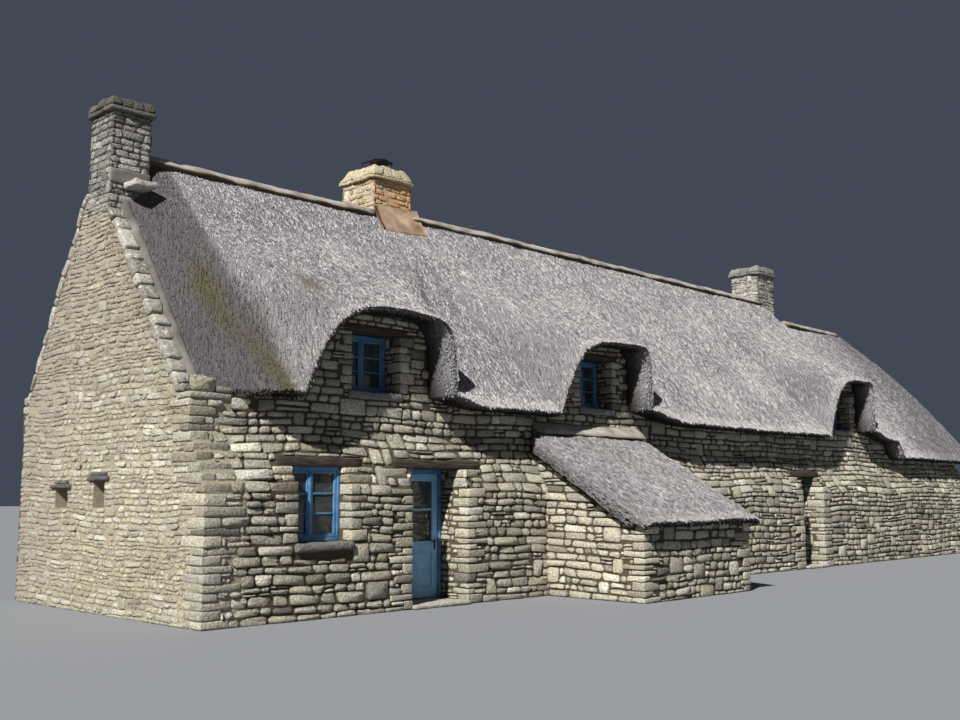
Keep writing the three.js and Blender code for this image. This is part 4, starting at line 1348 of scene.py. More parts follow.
@dataclass(frozen=True)
class LeanToForm:
  """Sizes of the lean-to."""

  x0: float = 6.11
  x1: float = 8.995
  front: float = -2.23
  verge: float = 0.11
  eave_y: float = -2.38
  eave_z: float = 1.19
  slope: float = 0.61
  thickness: float = 0.33
  wall_depth: float = 0.16
  crest: float = -0.21

  def top(self, y: Amount) -> Amount:
    """Height of its thatch at y."""
    return self.eave_z + self.slope * (y - self.eave_y)


LEANTO = LeanToForm()


def front_face_y(z: Amount) -> Amount:
  """The y of the front wall's battered face at a height."""
  return lerp(-0.4, 0.0, np.clip((np.asarray(z) - 1.6) / 0.75, 0, 1))


class LeanToSlope(Slope):
  """The lean-to's single slope against the house."""

  def top(self, u: Array, t: Array) -> Array:
    """Point of the upper side.

    Args:
      u, t: places along the slope and shares from eave to crest.

    Returns:
      Rows of points.
    """
    y = lerp(LEANTO.eave_y, LEANTO.crest, t)
    edge = np.minimum(u - (LEANTO.x0 - LEANTO.verge), LEANTO.x1 + LEANTO.verge - u)
    fall = 0.05 * (1 - smooth(edge / 0.16))
    return xyz(u, y, LEANTO.top(y) - fall)

  def under(self, u: Array, t: Array) -> Array:
    """Point of the under side.

    Args:
      u, t: places along the slope and shares from eave to crest.

    Returns:
      Rows of points.
    """
    y = lerp(LEANTO.front, LEANTO.crest, t)
    depth = lerp(0.18, LEANTO.thickness, smooth(t * 6))
    return xyz(u, y, LEANTO.top(y) - depth)

  def straw(self, low: float = -1e9, high: float = 1e9) -> Shape:
    """Makes the loose straw, also on the two verges."""
    shape = super().straw(low, high)
    count = self.rim
    for way in (-1, 1):
      u = np.full(count, self.columns[0] if way < 0 else self.columns[-1])
      t = self.rng.random(count)
      here = lerp(self.raised(u, t), self.under(u, t), self.rng.random(count)[:, None] ** 1.2 * 0.9)
      down = unit(np.array([[0.0, -1.0, -LEANTO.slope]]) + self.rng.normal(0, 0.12, (count, 3)))
      normal = np.tile([float(way), 0.0, 0.0], (count, 1))
      depth = (self.raised(u, t)[:, 2] - here[:, 2]) / LEANTO.thickness
      sizes = self.drawn(count, (0.07, 0.15), (0.012, 0.026), (0.004, 0.012))
      tint = np.clip(self.rng.normal(0.45, 0.2, count), 0, 1)
      # Painted shade: verge straws are darker the deeper they sit below the top of the thatch
      self.spikes(shape, here, down, normal, sizes, 0.5, tint, np.clip(depth * 1.1 - 0.25, 0, 0.9))
    return shape

  def weather(self, points: Array, tint: Array) -> Tones:
    """Tone, damp and moss: warmer and a little darker than the house's own roof."""
    return tint * 0.9, np.full(len(points), 0.06), np.clip(0.2 * self.cloud.at(points), 0, 0.15)


def dress_thatch(dense: bool) -> None:
  """Builds every slope.

  Args:
    dense: lays the full number of straws.
  """
  share = 1.0 if dense else 0.25
  up = np.array([1.25, 1.15, 1.08, 1.03, 1, 0.98, 0.96, 0.93, 0.9, 0.86, 0.82, 0.77, 0.72, 0.65, 0.58, 0.4,
                 0.2, 0])
  down = np.array([0.3, 0.5, 0.62, 0.72, 0.8, 0.86, 0.91, 0.95, 0.975, 0.99, 1, 1.1, 1.25, 1.4])
  front = np.unique(np.concatenate([
      np.linspace(0.3, 24.16, 130),
      np.linspace(0.3, 1.3, 30),
      *[lerp(a.crown, a.foot0, up) for a in ROOF.arches],
      *[lerp(a.crown, a.foot1, down) for a in ROOF.arches],
      np.linspace(19.1, 19.7, 9),
  ]))
  FrontSlope("thatch_front", front, rows=44, seed=3, straws=int(62000 * share),
             rim=int(7500 * share)).dress((7.0, 15.0))
  rear = np.unique(np.concatenate([np.linspace(0.3, 24.16, 130), np.linspace(0.3, 1.3, 30)]))
  RearSlope("thatch_rear", rear, rows=32, seed=5,
            straws=int(15000 * share), rim=int(2400 * share)).dress()
  HipSlope("thatch_hip", np.linspace(0, 1, 40), rows=30, seed=7,
           straws=int(4600 * share), rim=int(700 * share)).dress()
  LeanToSlope("leanto_thatch", np.linspace(LEANTO.x0 - LEANTO.verge, LEANTO.x1 + LEANTO.verge, 30),
              rows=26, seed=9, straws=int(5600 * share), rim=int(900 * share)).dress()


# Rubble masonry


def clip(poly: Outline, nx: float, ny: float, limit: float) -> Outline:
  """Cuts a convex outline to the side of a line where nx u + ny v is at most the limit.

  Args:
    poly: corner points in order.
    nx, ny: the line's normal.
    limit: where the line stands.

  Returns:
    What is left, in order.
  """
  kept: Outline = []
  count = len(poly)
  for i in range(count):
    a, b = poly[i], poly[(i + 1) % count]
    da, db = nx * a[0] + ny * a[1] - limit, nx * b[0] + ny * b[1] - limit
    if da <= 0:
      kept.append(a)
    if (da < 0 < db) or (db < 0 < da):
      s = da / (da - db)
      kept.append((a[0] + (b[0] - a[0]) * s, a[1] + (b[1] - a[1]) * s))
  return kept


def area(poly: Outline) -> float:
  """Gives the area of an outline, nought for fewer than three corners."""
  turned = poly[1:] + poly[:1]
  return abs(sum(a[0] * b[1] - b[0] * a[1] for a, b in zip(poly, turned))) / 2 if len(poly) > 2 else 0.0


def oblong(u0: float, v0: float, u1: float, v1: float) -> Outline:
  """Gives the outline of an upright oblong."""
  return [(u0, v0), (u1, v0), (u1, v1), (u0, v1)]


@dataclass(frozen=True)
class Face:
  """An upright face of a wall: across x or y, where it stands and which way it looks."""

  axis: int
  stand: float
  way: int

  @property
  def mirrored(self) -> bool:
    """Says whether u, v and the way out make a left hand."""
    return (self.axis == 0) == (self.way < 0)

  def place(self, u: Array, v: Array, proud: Array) -> Array:
    """Places points by u along the face, v up it and their height out of it."""
    out = self.stand + self.way * proud
    return xyz(out, u, v) if self.axis == 0 else xyz(u, out, v)


class BatteredFace(Face):
  """The front face, which leans back between 1.6 and 2.35 m."""

  def place(self, u: Array, v: Array, proud: Array) -> Array:
    """Places points by u along the face, v up it and their height out of it."""
    slope = np.where((v > 1.6) & (v < 2.35), 0.47, 0.0)
    return xyz(u, front_face_y(v) - proud * np.sqrt(1 - slope**2), v + proud * slope)


@dataclass
class RubbleFace:
  """A face of split stone in rough, wavy courses: slabs and lumps with deep, dark joints."""

  outline: Outline
  face: Face
  course: Pair = (0.075, 0.15)
  ratio: Pair = (1.2, 4.4)
  relief: float = 0.026
  joint: float = 0.01
  waver: float = 0.024
  holes: list[Rect] = field(default_factory=list)
  seed: int = 1
  keep: Callable[[float, float], bool] | None = None
  weather: Callable[[Array], tuple[Array, Array]] | None = None
  tone_shift: float = 0.0

  def __post_init__(self) -> None:
    """Draws the waves of the beds."""
    self.rng = np.random.default_rng(self.seed)
    self.waves = (Ripple(self.seed + 1, 2.2), Ripple(self.seed + 2, 0.55), Ripple(self.seed + 3, 0.17))

  def bed(self, u: float, level: float) -> float:
    """Height of a bed joint at u."""
    at = np.array([[u, 0.0, level]])
    parts = [share * float(wave.at(at)[0]) for share, wave in zip((1.0, 0.45, 0.42), self.waves)]
    return level + self.waver * sum(parts)

  def slab(self, left: Pair, right: Pair, low: float, high: float) -> list:
    """Gives one stone's corners.

    Args:
      left, right: u of its joints, below and above.
      low, high: levels of its beds.

    Returns:
      Corners in order.
    """
    g, pull = self.joint / 2, self.rng.uniform(0, 0.008, (4, 2))
    return [
        (left[0] + g + pull[0, 0], self.bed(left[0], low) + g + pull[0, 1]),
        (right[0] - g - pull[1, 0], self.bed(right[0], low) + g + pull[1, 1]),
        (right[1] - g - pull[2, 0], self.bed(right[1], high) - g - pull[2, 1]),
        (left[1] + g + pull[3, 0], self.bed(left[1], high) - g - pull[3, 1]),
    ]

  def layout(self) -> list[Outline]:
    """Draws the stones' outlines, course by course, before they are cut.

    Returns:
      The outlines.
    """
    rng = self.rng
    us, vs = [p[0] for p in self.outline], [p[1] for p in self.outline]
    found: list[Outline] = []
    taken: Outline = []
    level, thick = min(vs) - 0.06, rng.uniform(*self.course)
    while level < max(vs):
      above, ahead = rng.uniform(*self.course), []
      u = min(us) - rng.uniform(0.05, 0.3)
      left = (u, u)
      while u < max(us):
        block = next((t for t in taken if t[0] - 0.05 < u < t[1]), None)
        if block:
          u = block[1]
          left = (u, u)
          continue
        width = float(np.clip(thick * lerp(*self.ratio, rng.random() ** 1.35), 0.07, 0.52))
        end = u + width
        stop = next((t for t in taken if u < t[0] < end + 0.06), None)
        end = stop[0] if stop else end
        slant = (0.0, 0.0) if stop else tuple(rng.uniform(-0.028, 0.028, 2))
        right = (end + slant[0], end + slant[1])
        kind = rng.random()
        if kind < 0.06 and not stop and 0.75 < width / (thick + above) < 1.9 and thick + above < 0.27:
          found.append(self.slab(left, right, level, level + thick + above))
          ahead.append((u, end))
          right = (end, end)
        elif kind < 0.17 and thick > 0.1 and end - u > 0.14:
          middle = level + thick * rng.uniform(0.36, 0.64)
          for low, high in ((level, middle), (middle, level + thick)):
            cut = lerp(u, end, rng.uniform(0.3, 0.7))
            joints = [left, (cut, cut), right] if rng.random() < 0.5 and end - u > 0.2 else [left, right]
            found += [self.slab(a, b, low, high) for a, b in zip(joints, joints[1:])]
        else:
          found.append(self.slab(left, right, level, level + thick))
        u, left = end, right
      level, thick, taken = level + thick, above, ahead
    return found

  def _inside(self, u: float, v: float) -> bool:
    """Says whether a place lies within the outline."""
    sides = zip(self.outline, self.outline[1:] + self.outline[:1])
    crossed = [(ay > v) != (by > v) and u < ax + (bx - ax) * (v - ay) / (by - ay)
               for (ax, ay), (bx, by) in sides]
    return sum(crossed) % 2 == 1

  def cut(self) -> list[Outline]:
    """Cuts the stones to the wall's edge and around its holes.

    Returns:
      The outlines that are left.
    """
    edges = []
    for a, b in zip(self.outline, self.outline[1:] + self.outline[:1]):
      length = math.hypot(b[0] - a[0], b[1] - a[1])
      edges.append((a, b, (b[1] - a[1]) / length, -(b[0] - a[0]) / length))
    result = []
    for poly in self.layout():
      low_u, high_u = min(p for p, _ in poly), max(p for p, _ in poly)
      low_v, high_v = min(q for _, q in poly), max(q for _, q in poly)
      for a, b, nx, ny in edges:
        if max(a[0], b[0]) < low_u or min(a[0], b[0]) > high_u:
          continue
        if max(a[1], b[1]) < low_v or min(a[1], b[1]) > high_v:
          continue
        poly = clip(poly, nx, ny, nx * a[0] + ny * a[1])
      pieces = [poly]
      for hole in self.holes:
        if high_u >= hole[0] and low_u <= hole[2] and high_v >= hole[1] and low_v <= hole[3]:
          pieces = [part for piece in pieces for part in self.around(piece, hole)]
      result += [piece for piece in pieces if self.fits(piece)]
    return result

  def around(self, poly: Outline, hole: Rect) -> list[Outline]:
    """Cuts one stone beside a hole, in two where it reaches round the hole's corner.

    Args:
      poly: the stone's outline.
      hole: the hole.

    Returns:
      One or two outlines.
    """
    gap = self.joint * 0.4
    sides = ((1, 0, hole[0] - gap), (-1, 0, -hole[2] - gap), (0, 1, hole[1] - gap), (0, -1, -hole[3] - gap))
    best = max(sides, key=lambda side: area(clip(poly, *side)))
    rest = clip(poly, -best[0], -best[1], -best[2] - self.joint)
    other = max((clip(rest, *side) for side in sides), key=area)
    first = clip(poly, *best)
    return [first, other] if area(other) > max(0.3 * area(first), 0.0015) else [first]

  def fits(self, poly: Outline) -> bool:
    """Says whether a cut stone is large enough and belongs to the face.

    Args:
      poly: corner points in order.

    Returns:
      True if it stays.
    """
    if len(poly) < 3:
      return False
    su, sv = sum(p for p, _ in poly) / len(poly), sum(q for _, q in poly) / len(poly)
    wide = max(p for p, _ in poly) - min(p for p, _ in poly)
    tall = max(q for _, q in poly) - min(q for _, q in poly)
    if wide < 0.03 or tall < 0.02 or not self._inside(su, sv):
      return False
    return self.keep is None or self.keep(su, sv)

  def softened(self, poly: Outline) -> Array:
    """Breaks an outline's corners and waves its edges.

    Args:
      poly: corner points in order.

    Returns:
      Three points for each corner.
    """
    p = np.array(poly)
    after = np.roll(p, -1, axis=0)
    length = np.maximum(np.linalg.norm(after - p, axis=1, keepdims=True), 1e-4)
    broken = np.minimum(0.33, self.rng.uniform(0.012, 0.042, length.shape) / length)
    inward = unit(p.mean(axis=0) - lerp(p, after, 0.5)) * self.rng.uniform(-0.006, 0.006, length.shape)
    middle = lerp(p, after, self.rng.uniform(0.35, 0.65, length.shape)) + inward
    return np.stack([lerp(p, after, broken), middle, lerp(p, after, 1 - broken)], axis=1).reshape(-1, 2)

  def lay(self, shape: Shape, low: float = -1e9, high: float = 1e9) -> None:
    """Adds the stones between two places along the face.

    Args:
      shape: the mesh.
      low, high: lowest and highest u of a stone's middle.
    """
    self.rng = np.random.default_rng(self.seed)
    outlines = [self.softened(poly) for poly in self.cut()]
    outlines = [o for o in outlines if low <= float(o[:, 0].mean()) < high]
    for size in sorted({len(o) for o in outlines}):
      self.carve(shape, np.stack([o for o in outlines if len(o) == size]))

  def carve(self, shape: Shape, outer: Array) -> None:
    """Gives stones of one corner count their relief.

    Args:
      shape: the mesh.
      outer: stones by outline points by u and v.
    """
    rng, (count, n) = self.rng, outer.shape[:2]
    centre = outer.mean(axis=1, keepdims=True)
    span = outer - centre
    inset = rng.uniform(0.008, 0.02, (count, 1, 1)) * rng.uniform(0.7, 1.3, (count, n, 1))
    drawn = outer - np.sign(span) * np.minimum(inset, 0.5 * np.abs(span))
    height = self.relief * rng.uniform(0.35, 1.3, (count, 1))
    tilt = rng.normal(0, 0.05, (count, 1, 2))
    rings = []
    for flat, rise, rough in ((outer, None, 0.0), (centre + span * 0.985, 0.55, 0.003),
                              (drawn, 0.92, 0.0028)):
      proud = np.full((count, n), -0.02)
      if rise is not None:
        proud = height * rise + rng.normal(0, rough, (count, n)) + ((flat - centre) * tilt).sum(axis=2)
      rings.append(np.concatenate([flat, proud[..., None]], axis=2))
    top = np.concatenate([centre, (height * rng.uniform(1.0, 1.2, (count, 1)))[..., None]], axis=2)
    data = np.concatenate([*rings, top], axis=1).reshape(-1, 3)
    points = self.face.place(data[:, 0], data[:, 1], data[:, 2])
    per, k = 3 * n + 1, np.arange(n)
    following = (k + 1) % n
    quads = np.concatenate([
        np.stack([r * n + k, r * n + following, (r + 1) * n + following, (r + 1) * n + k], axis=1)
        for r in (0, 1)
    ])
    fans = np.stack([2 * n + k, 2 * n + following, np.full(n, 3 * n)], axis=1)
    if self.face.mirrored:
      quads, fans = quads[:, ::-1], fans[:, ::-1]
    start = (np.arange(count) * per)[:, None, None]
    patch = self.waves[0].at(np.concatenate([centre[:, 0], centre[:, 0, :1]], axis=1))
    tint = np.clip(rng.normal(0.5 + self.tone_shift, 0.2, count) + 0.07 * patch, 0, 1)
    stain, moss = self.weather(points) if self.weather else (0.0, 0.0)
    joint_dirt_and_shade = np.tile(np.repeat([1.0, 0.6, 0.1, 0.0], [n, n, n, 1]), count)
    shape.add(points, (start + quads[None]).reshape(-1, 4), np.repeat(tint, per), stain, moss, joint_dirt_and_shade)
    shape.more((start + fans[None]).reshape(-1, 3))


# Openings of the house, from the CAD: x0, z0, x1, z1
GROUND_WINDOW: Rect = (1.33, 0.95, 2.19, 1.9)
GROUND_FRAME: Rect = (1.22, 0.95, 2.19, 1.925)
DOORS: dict[str, Rect] = {"west": (3.26, 0.06, 4.35, 1.94), "east": (14.38, 0.06, 15.28, 1.94)}
DORMERS: dict[str, Rect] = {
    "west": (2.47, 2.98, 3.37, 3.81),
    "middle": (7.44, 3.03, 8.34, 3.88),
    "east": (16.73, 3.03, 17.56, 3.86),
}
REAR_WINDOWS: tuple[Rect, ...] = tuple((x, 0.95, x + 0.86, 1.85) for x in (6.2, 12.4, 20.3))
LINTELS: dict[str, Pair] = {
    "lintel_window_ground": (1.14, 2.52),
    "lintel_door_west": (3.08, 4.79),
    "lintel_door_east": (14.18, 15.48),
}
LINTEL_Z = (1.925, 2.04)


@dataclass
class Quoins:
  """Larger stones that turn a corner, long and short by turns."""

  mason: Mason
  relief: float = 0.024
  side_relief: float = 0.012
  course: Pair = (0.07, 0.16)
  short: Pair = (0.13, 0.22)
  long: Pair = (0.26, 0.42)
  joint: float = 0.015
  faces: list[Rect] = field(default_factory=list)

  def corner(self, shape: Shape, place: Pair, ways: tuple[int, int], heights: Pair,
             follow: bool = False, depth: float = 1.0) -> list[Rect]:
    """Builds the quoins of one corner.

    Args:
      shape: the mesh.
      place: the corner's x and y.
      ways: ways the walls run from it along x and y, 1 or -1.
      heights: where they start and end.
      follow: lets them follow the front face's batter.
      depth: how far they may reach along y.

    Returns:
      What they cover of the face that runs along y.
    """
    rng, (x, y), (way_x, way_y) = self.mason.rng, place, ways
    z, z1 = heights
    turn, covered = int(rng.integers(2)), []
    while z < z1 - 0.05:
      height = min(rng.uniform(*self.course), z1 - z)
      height = z1 - z if z1 - z - height < 0.06 else height
      long, short = rng.uniform(*self.long), rng.uniform(*self.short)
      dx, dy = (long, min(short, depth)) if turn else (short, min(long, depth))
      out, aside = (self.relief * rng.uniform(0.6, 1.15), self.side_relief * rng.uniform(0.7, 1))
      shift = float(front_face_y(z + height / 2)) + 0.4 if follow else 0.0
      xs = sorted((x - way_x * aside, x + way_x * dx))
      ys = sorted((y + shift - way_y * out, y + shift + way_y * dy))
      plan_x, plan_y = sorted((x, x + way_x * dx)), sorted((y + shift, y + shift + way_y * dy))
      g = self.joint / 2
      self.mason.block(shape, (xs[0], ys[0], z + g), (xs[1], ys[1], z + height - g), radius=0.016,
                       cells=(4, 4, 3), tint=np.clip(rng.normal(0.38, 0.2), 0, 1), skew=0.008)
      self.faces.append((plan_x[0], z, plan_x[1], z + height))
      covered.append((plan_y[0], z, plan_y[1], z + height))
      z += height
      turn = 1 - turn
    return covered


@dataclass
class Walls:
  """The rubble facings of the house and the lean-to."""

  front_course: Pair = (0.088, 0.152)
  gable_course: Pair = (0.046, 0.096)
  plain_course: Pair = (0.11, 0.19)
  parting: float = 10.4
  vents: tuple[Rect, ...] = ((2.06, 1.38, 2.37, 1.74), (3.13, 1.37, 3.51, 1.64))
  vent_heads: tuple[Rect, ...] = ((1.9, 1.74, 2.52, 1.85), (3.0, 1.64, 3.66, 1.74))
  vent_slabs: tuple[Rect, ...] = ((1.93, 1.745, 2.5, 1.8), (2.0, 1.803, 2.42, 1.845),
                                  (3.03, 1.645, 3.63, 1.7), (3.1, 1.703, 3.5, 1.735))

  def openings(self, shape: Shape) -> list[Rect]:
    """Builds the corner stones and the sides of the doors and windows.

    Args:
      shape: the mesh.

    Returns:
      What they cover of the front face.
    """
    quoins, seed = Quoins(Mason(21, rough=0.0045)), 60
    low = zip((*DOORS.values(), GROUND_WINDOW), (0.15, 0.15, -0.165))
    rows = [(hole, -0.4, back, 1.92) for hole, back in low]
    rows += [(hole, 0.0, 0.315, hole[3]) for hole in DORMERS.values()]
    for (x0, z0, x1, _), near, back, top in rows:
      for x, way in ((x0, 1), (x1, -1)):
        seed += 1
        foot = 0.0 if near < 0 and z0 < 0.1 else z0
        depth = back - near - 0.004
        if near == 0.0:
          quoins.short, quoins.long = (0.1, 0.17), (0.18, 0.28)
        covered = quoins.corner(shape, (x, near), (-way, 1), (foot, top), follow=near < 0, depth=depth)
        if depth > 0.25:
          RubbleFace(oblong(near + 0.01, z0, back, top), Face(0, x, way), course=(0.07, 0.13),
                     relief=0.012, joint=0.012, holes=covered, seed=seed).lay(shape)
    return quoins.faces

  def front(self) -> None:
    """Builds the front wall's stones, from the ground up to the thatch."""
    corners = Shape()
    holes = self.openings(corners)
    turn = Quoins(Mason(22, rough=0.006), 0.02, 0.018, (0.085, 0.155), (0.17, 0.28), (0.34, 0.6), 0.009)
    self.corner_rects = turn.corner(corners, (0.0, -0.4), (1, 1), (0.0, 2.8), follow=True)
    corners.build("corner_stones", Cloth.FRONT_STONE, "rubble_stone")
    holes += turn.faces
    holes += [(x0, z0 - 0.2, x1, z1) for x0, z0, x1, z1 in (*DOORS.values(), GROUND_WINDOW)]
    x0, z0, x1, _ = GROUND_WINDOW
    holes.append((x0 - 0.035, z0 - 0.12, x1 + 0.035, z0))
    holes += [(a - 0.005, LINTEL_Z[0] - 0.005, b + 0.005, LINTEL_Z[1] + 0.005) for a, b in LINTELS.values()]
    for x0, z0, x1, z1 in DORMERS.values():
      holes += [(x0, z0, x1, z1), (x0 - 0.035, z0 - 0.12, x1 + 0.035, z0)]
      holes.append((x0 - 0.125, z1, x1 + 0.125, z1 + 0.095))

    def under_thatch(u: float, v: float) -> bool:
      """Keeps stones that stand below the soffit."""
      at = np.array([u])
      soffit = float(ROOF.front_under(at, np.maximum(ROOF.soffit_foot(at), 0.0))[0])
      behind = LEANTO.x0 + 0.3 < u < LEANTO.x1 - 0.3 and v < 1.7
      return v < soffit + 0.1 and not behind

    face = RubbleFace(oblong(-0.015, 0.0, 23.765, 4.2), BatteredFace(1, 0.0, -1), course=self.front_course,
                      holes=holes, seed=31, keep=under_thatch)
    for name, low, high in (("west", -1.0, self.parting), ("east", self.parting, 30.0)):
      shape = Shape()
      face.lay(shape, low, high)
      shape.build(f"front_wall_stones_{name}", Cloth.FRONT_STONE, "rubble_stone")

  def gable(self) -> None:
    """Builds the west gable's stones under the coping."""
    outline = [
        (-0.4, 0.0), (4.68, 0.0), (4.68, 2.74), (4.55, 2.74), (4.55, 2.89), (2.88, 5.79), (2.88, 5.8),
        (2.27, 5.8), (2.27, 5.45), (0.31, 2.825), (0.31, 2.8), (0.0, 2.8), (0.0, 2.35), (-0.4, 1.6),
    ]
    holes: list[Rect] = [*self.corner_rects, *self.vents, *self.vent_heads]
    drift = Ripple(43, 0.7)

    def weather(points: Array) -> tuple[Array, Array]:
      """Red-brown wash below the coping; the rear half greyer."""
      y, z = points[:, 1], points[:, 2]
      below = (2.825 + 1.34 * (y - 0.31) - z) / 1.67
      band = np.exp(-((below - 0.15) ** 2) / 0.02) * (y < 2.3)
      band = band * np.clip(0.55 + 0.9 * drift.at(points), 0.1, 1.2)
      grey = 0.5 * smooth((y - 2.4) / 2.0) + 0.4 * smooth((z - 2.0) / 2.2)
      return np.clip(0.85 * band, 0, 0.8), np.clip(grey, 0, 0.6)

    shape, slabs, mason = Shape(), Shape(), Mason(42, rough=0.007)
    RubbleFace(outline, Face(0, 0.0, -1), course=self.gable_course, ratio=(1.4, 5.0), relief=0.011,
               joint=0.005, waver=0.03, holes=holes, seed=41, weather=weather, tone_shift=0.03).lay(shape)
    shape.build("gable_wall_stones", Cloth.GABLE_STONE, "rubble_stone")
    for y0, z0, y1, z1 in self.vent_slabs:
      mason.block(slabs, (-0.045, y0, z0), (0.2, y1, z1), radius=0.014, cells=(3, 6, 3), tint=0.05,
                  skew=0.008)
    slabs.build("vent_lintel_stones", Cloth.SILL_STONE, "rubble_stone")

  def rear(self) -> None:
    """Builds the plain stones of the rear and the east side."""
    shape, mason = Shape(), Mason(53, rough=0.005)
    holes: list[Rect] = []
    for x0, z0, x1, z1 in REAR_WINDOWS:
      holes += [(x0, z0, x1, z1), (x0 - 0.15, z1, x1 + 0.15, z1 + 0.15),
                (x0 - 0.06, z0 - 0.1, x1 + 0.06, z0)]
    RubbleFace(oblong(-0.01, 0.0, 23.76, 2.83), Face(1, ROOF.rear_face, 1), course=self.plain_course,
               holes=holes, seed=51).lay(shape)
    outline = [(-0.42, 0.0), (4.69, 0.0), (4.69, 2.6), (-0.02, 2.6), (-0.02, 2.35), (-0.42, 1.6)]
    RubbleFace(outline, Face(0, ROOF.length, 1), course=self.plain_course, seed=52).lay(shape)
    for x0, z0, x1, z1 in REAR_WINDOWS:
      mason.block(shape, (x0 - 0.14, 4.45, z1 + 0.005), (x1 + 0.14, 4.7, z1 + 0.145), 0.015, (5, 3, 3),
                  tint=0.8)
      mason.block(shape, (x0 - 0.05, 4.52, z0 - 0.095), (x1 + 0.05, 4.73, z0 - 0.003), 0.015, (5, 3, 3),
                  tint=0.8)
    shape.build("rear_and_east_stones", Cloth.PLAIN_STONE, "rubble_stone")

  def leanto(self) -> None:
    """Builds the lean-to's stones."""
    shape, form = Shape(), LEANTO
    top = form.top(form.front) - form.wall_depth + 0.02
    back = form.top(-0.22) - form.wall_depth + 0.02
    turns = Quoins(Mason(75, rough=0.006), side_relief=0.02)
    sides = [turns.corner(shape, (x, form.front), (way, 1), (0.0, top - 0.03))
             for x, way in ((form.x0, 1), (form.x1, -1))]
    RubbleFace(oblong(form.x0 - 0.015, 0.0, form.x1 + 0.015, top), Face(1, form.front, -1),
               course=self.front_course, holes=turns.faces, seed=71).lay(shape)
    near = form.front - 0.015
    outline = [(near, 0.0), (-0.4, 0.0), (-0.4, 1.62), (-0.22, 1.96), (-0.22, back), (near, top)]
    for holes, face, seed in zip(sides, (Face(0, form.x0, -1), Face(0, form.x1, 1)), (72, 73)):
      RubbleFace(outline, face, course=self.front_course, holes=holes, seed=seed).lay(shape)
    shape.build("leanto_wall_stones", Cloth.FRONT_STONE, "rubble_stone")

  def dress(self) -> None:
    """Builds all facings."""
    self.front()
    self.gable()
    self.rear()
    self.leanto()


# Gable coping and the mortar beside it


@dataclass(frozen=True)
class Rake:
  """One sloping edge of the west gable, up to the chimney, with its coping."""

  foot: float
  foot_z: float
  slope: float
  way: int
  end: float
  fillet_run: tuple[float, float, int]
  thatch: Callable[[Array, Array], Array]
  rise: float = 0.17
  stone: float = 0.25

  def stones(self, shape: Shape, mason: Mason) -> None:
    """Lays the coping stones.

    Args:
      shape: the mesh.
      mason: makes the blocks.
    """
    cosine = 1 / math.sqrt(1 + self.slope**2)
    length = abs(self.end - self.foot) * math.sqrt(1 + self.slope**2)
    count = round(length / self.stone)
    cuts = (np.arange(count + 1) + np.r_[0, mason.rng.uniform(-0.3, 0.3, count - 1), 0]) / count * length
    thick = self.rise * cosine
    for a, b in zip(cuts, cuts[1:]):
      lean = mason.rng.uniform(-0.14, 0.04)
      extra, out = mason.rng.uniform(-0.02, 0.02), mason.rng.uniform(0.0, 0.028)

      def bend(points: Array, lean: float = lean, middle: float = (a + b) / 2) -> Array:
        """Turns a stone that was laid flat up the rake."""
        along, up = points[:, 1], points[:, 2] + lean * (points[:, 1] - middle)
        y = self.foot + self.way * (along * cosine - up * self.slope * cosine)
        return xyz(points[:, 0], y, self.foot_z + along * self.slope * cosine + up * cosine)

      mason.block(shape, (-0.018 - out, a + 0.006, -0.02), (0.19, b - 0.006, thick + extra), radius=0.03,
                  cells=(5, 4, 3), tint=np.clip(mason.rng.normal(0.62, 0.2), 0, 1), bend=bend, skew=0.014)

  def fillet(self, shape: Shape) -> None:
    """Adds the mortar strip between the coping and the thatch."""
    ripple, x = Ripple(91, 0.5), np.array([0.155, 0.18, 0.22, 0.265, 0.31])
    rings = []
    for y in np.linspace(*self.fillet_run):
      coping = self.foot_z + self.way * self.slope * (y - self.foot) + self.rise
      top = self.thatch(x, np.full(5, y))
      wave = 0.012 * ripple.at(xyz(x, y, top))
      z = [coping - 0.05, coping - 0.012, lerp(coping, top[2], 0.5) + 0.01, top[3] + 0.03, top[4] - 0.03]
      upper = xyz(x + wave * 0.6, y, z + wave)
      lower = xyz(x, y, np.array(z) - 0.09)[::-1]
      rings.append(np.concatenate([upper, lower]))
    shape.loft(np.array(rings))


@dataclass
class Gable:
  """The coping stones on the gable's rakes, and the mortar fillets by the thatch."""

  kneeler_fronts: Pair = (-0.03, -0.028)
  kneeler_depth: float = 0.3

  def dress(self) -> None:
    """Builds copings, kneelers and fillets."""
    stack, fillet, mason = STACKS["west"], Shape(), Mason(81, rough=0.009, wavelength=0.2)
    # Each kneeler: y0, z0, y1, z1 and tone of its two stones
    for name, rake, kneelers in (
        ("front", Rake(0.31, 2.825, 1.34, 1, stack.y0, (0.3, 2.26, 44), ROOF.front_top),
         ((0.12, 2.805, 0.34, 2.9, 0.35), (0.13, 2.905, 0.36, 3.02, 0.4))),
        ("rear", Rake(4.55, 2.89, 1.74, -1, stack.y1, (2.9, 4.6, 40), ROOF.rear_top),
         ((4.53, 2.745, 4.69, 2.87, 0.7), (4.5, 2.875, 4.68, 3.0, 0.6))),
    ):
      shape = Shape()
      rake.stones(shape, mason)
      for x0, (y0, z0, y1, z1, tint) in zip(self.kneeler_fronts, kneelers):
        mason.block(shape, (x0, y0, z0), (self.kneeler_depth, y1, z1), 0.03, (5, 4, 3), tint)
      shape.build(f"coping_{name}_stones", Cloth.DRESSED_STONE, "pale_stone", f"gable_coping_{name}")
      rake.fillet(fillet)
    fillet.build("coping_fillet", Cloth.GREY_MORTAR, "mortar")


# Ridge caps and other mortar


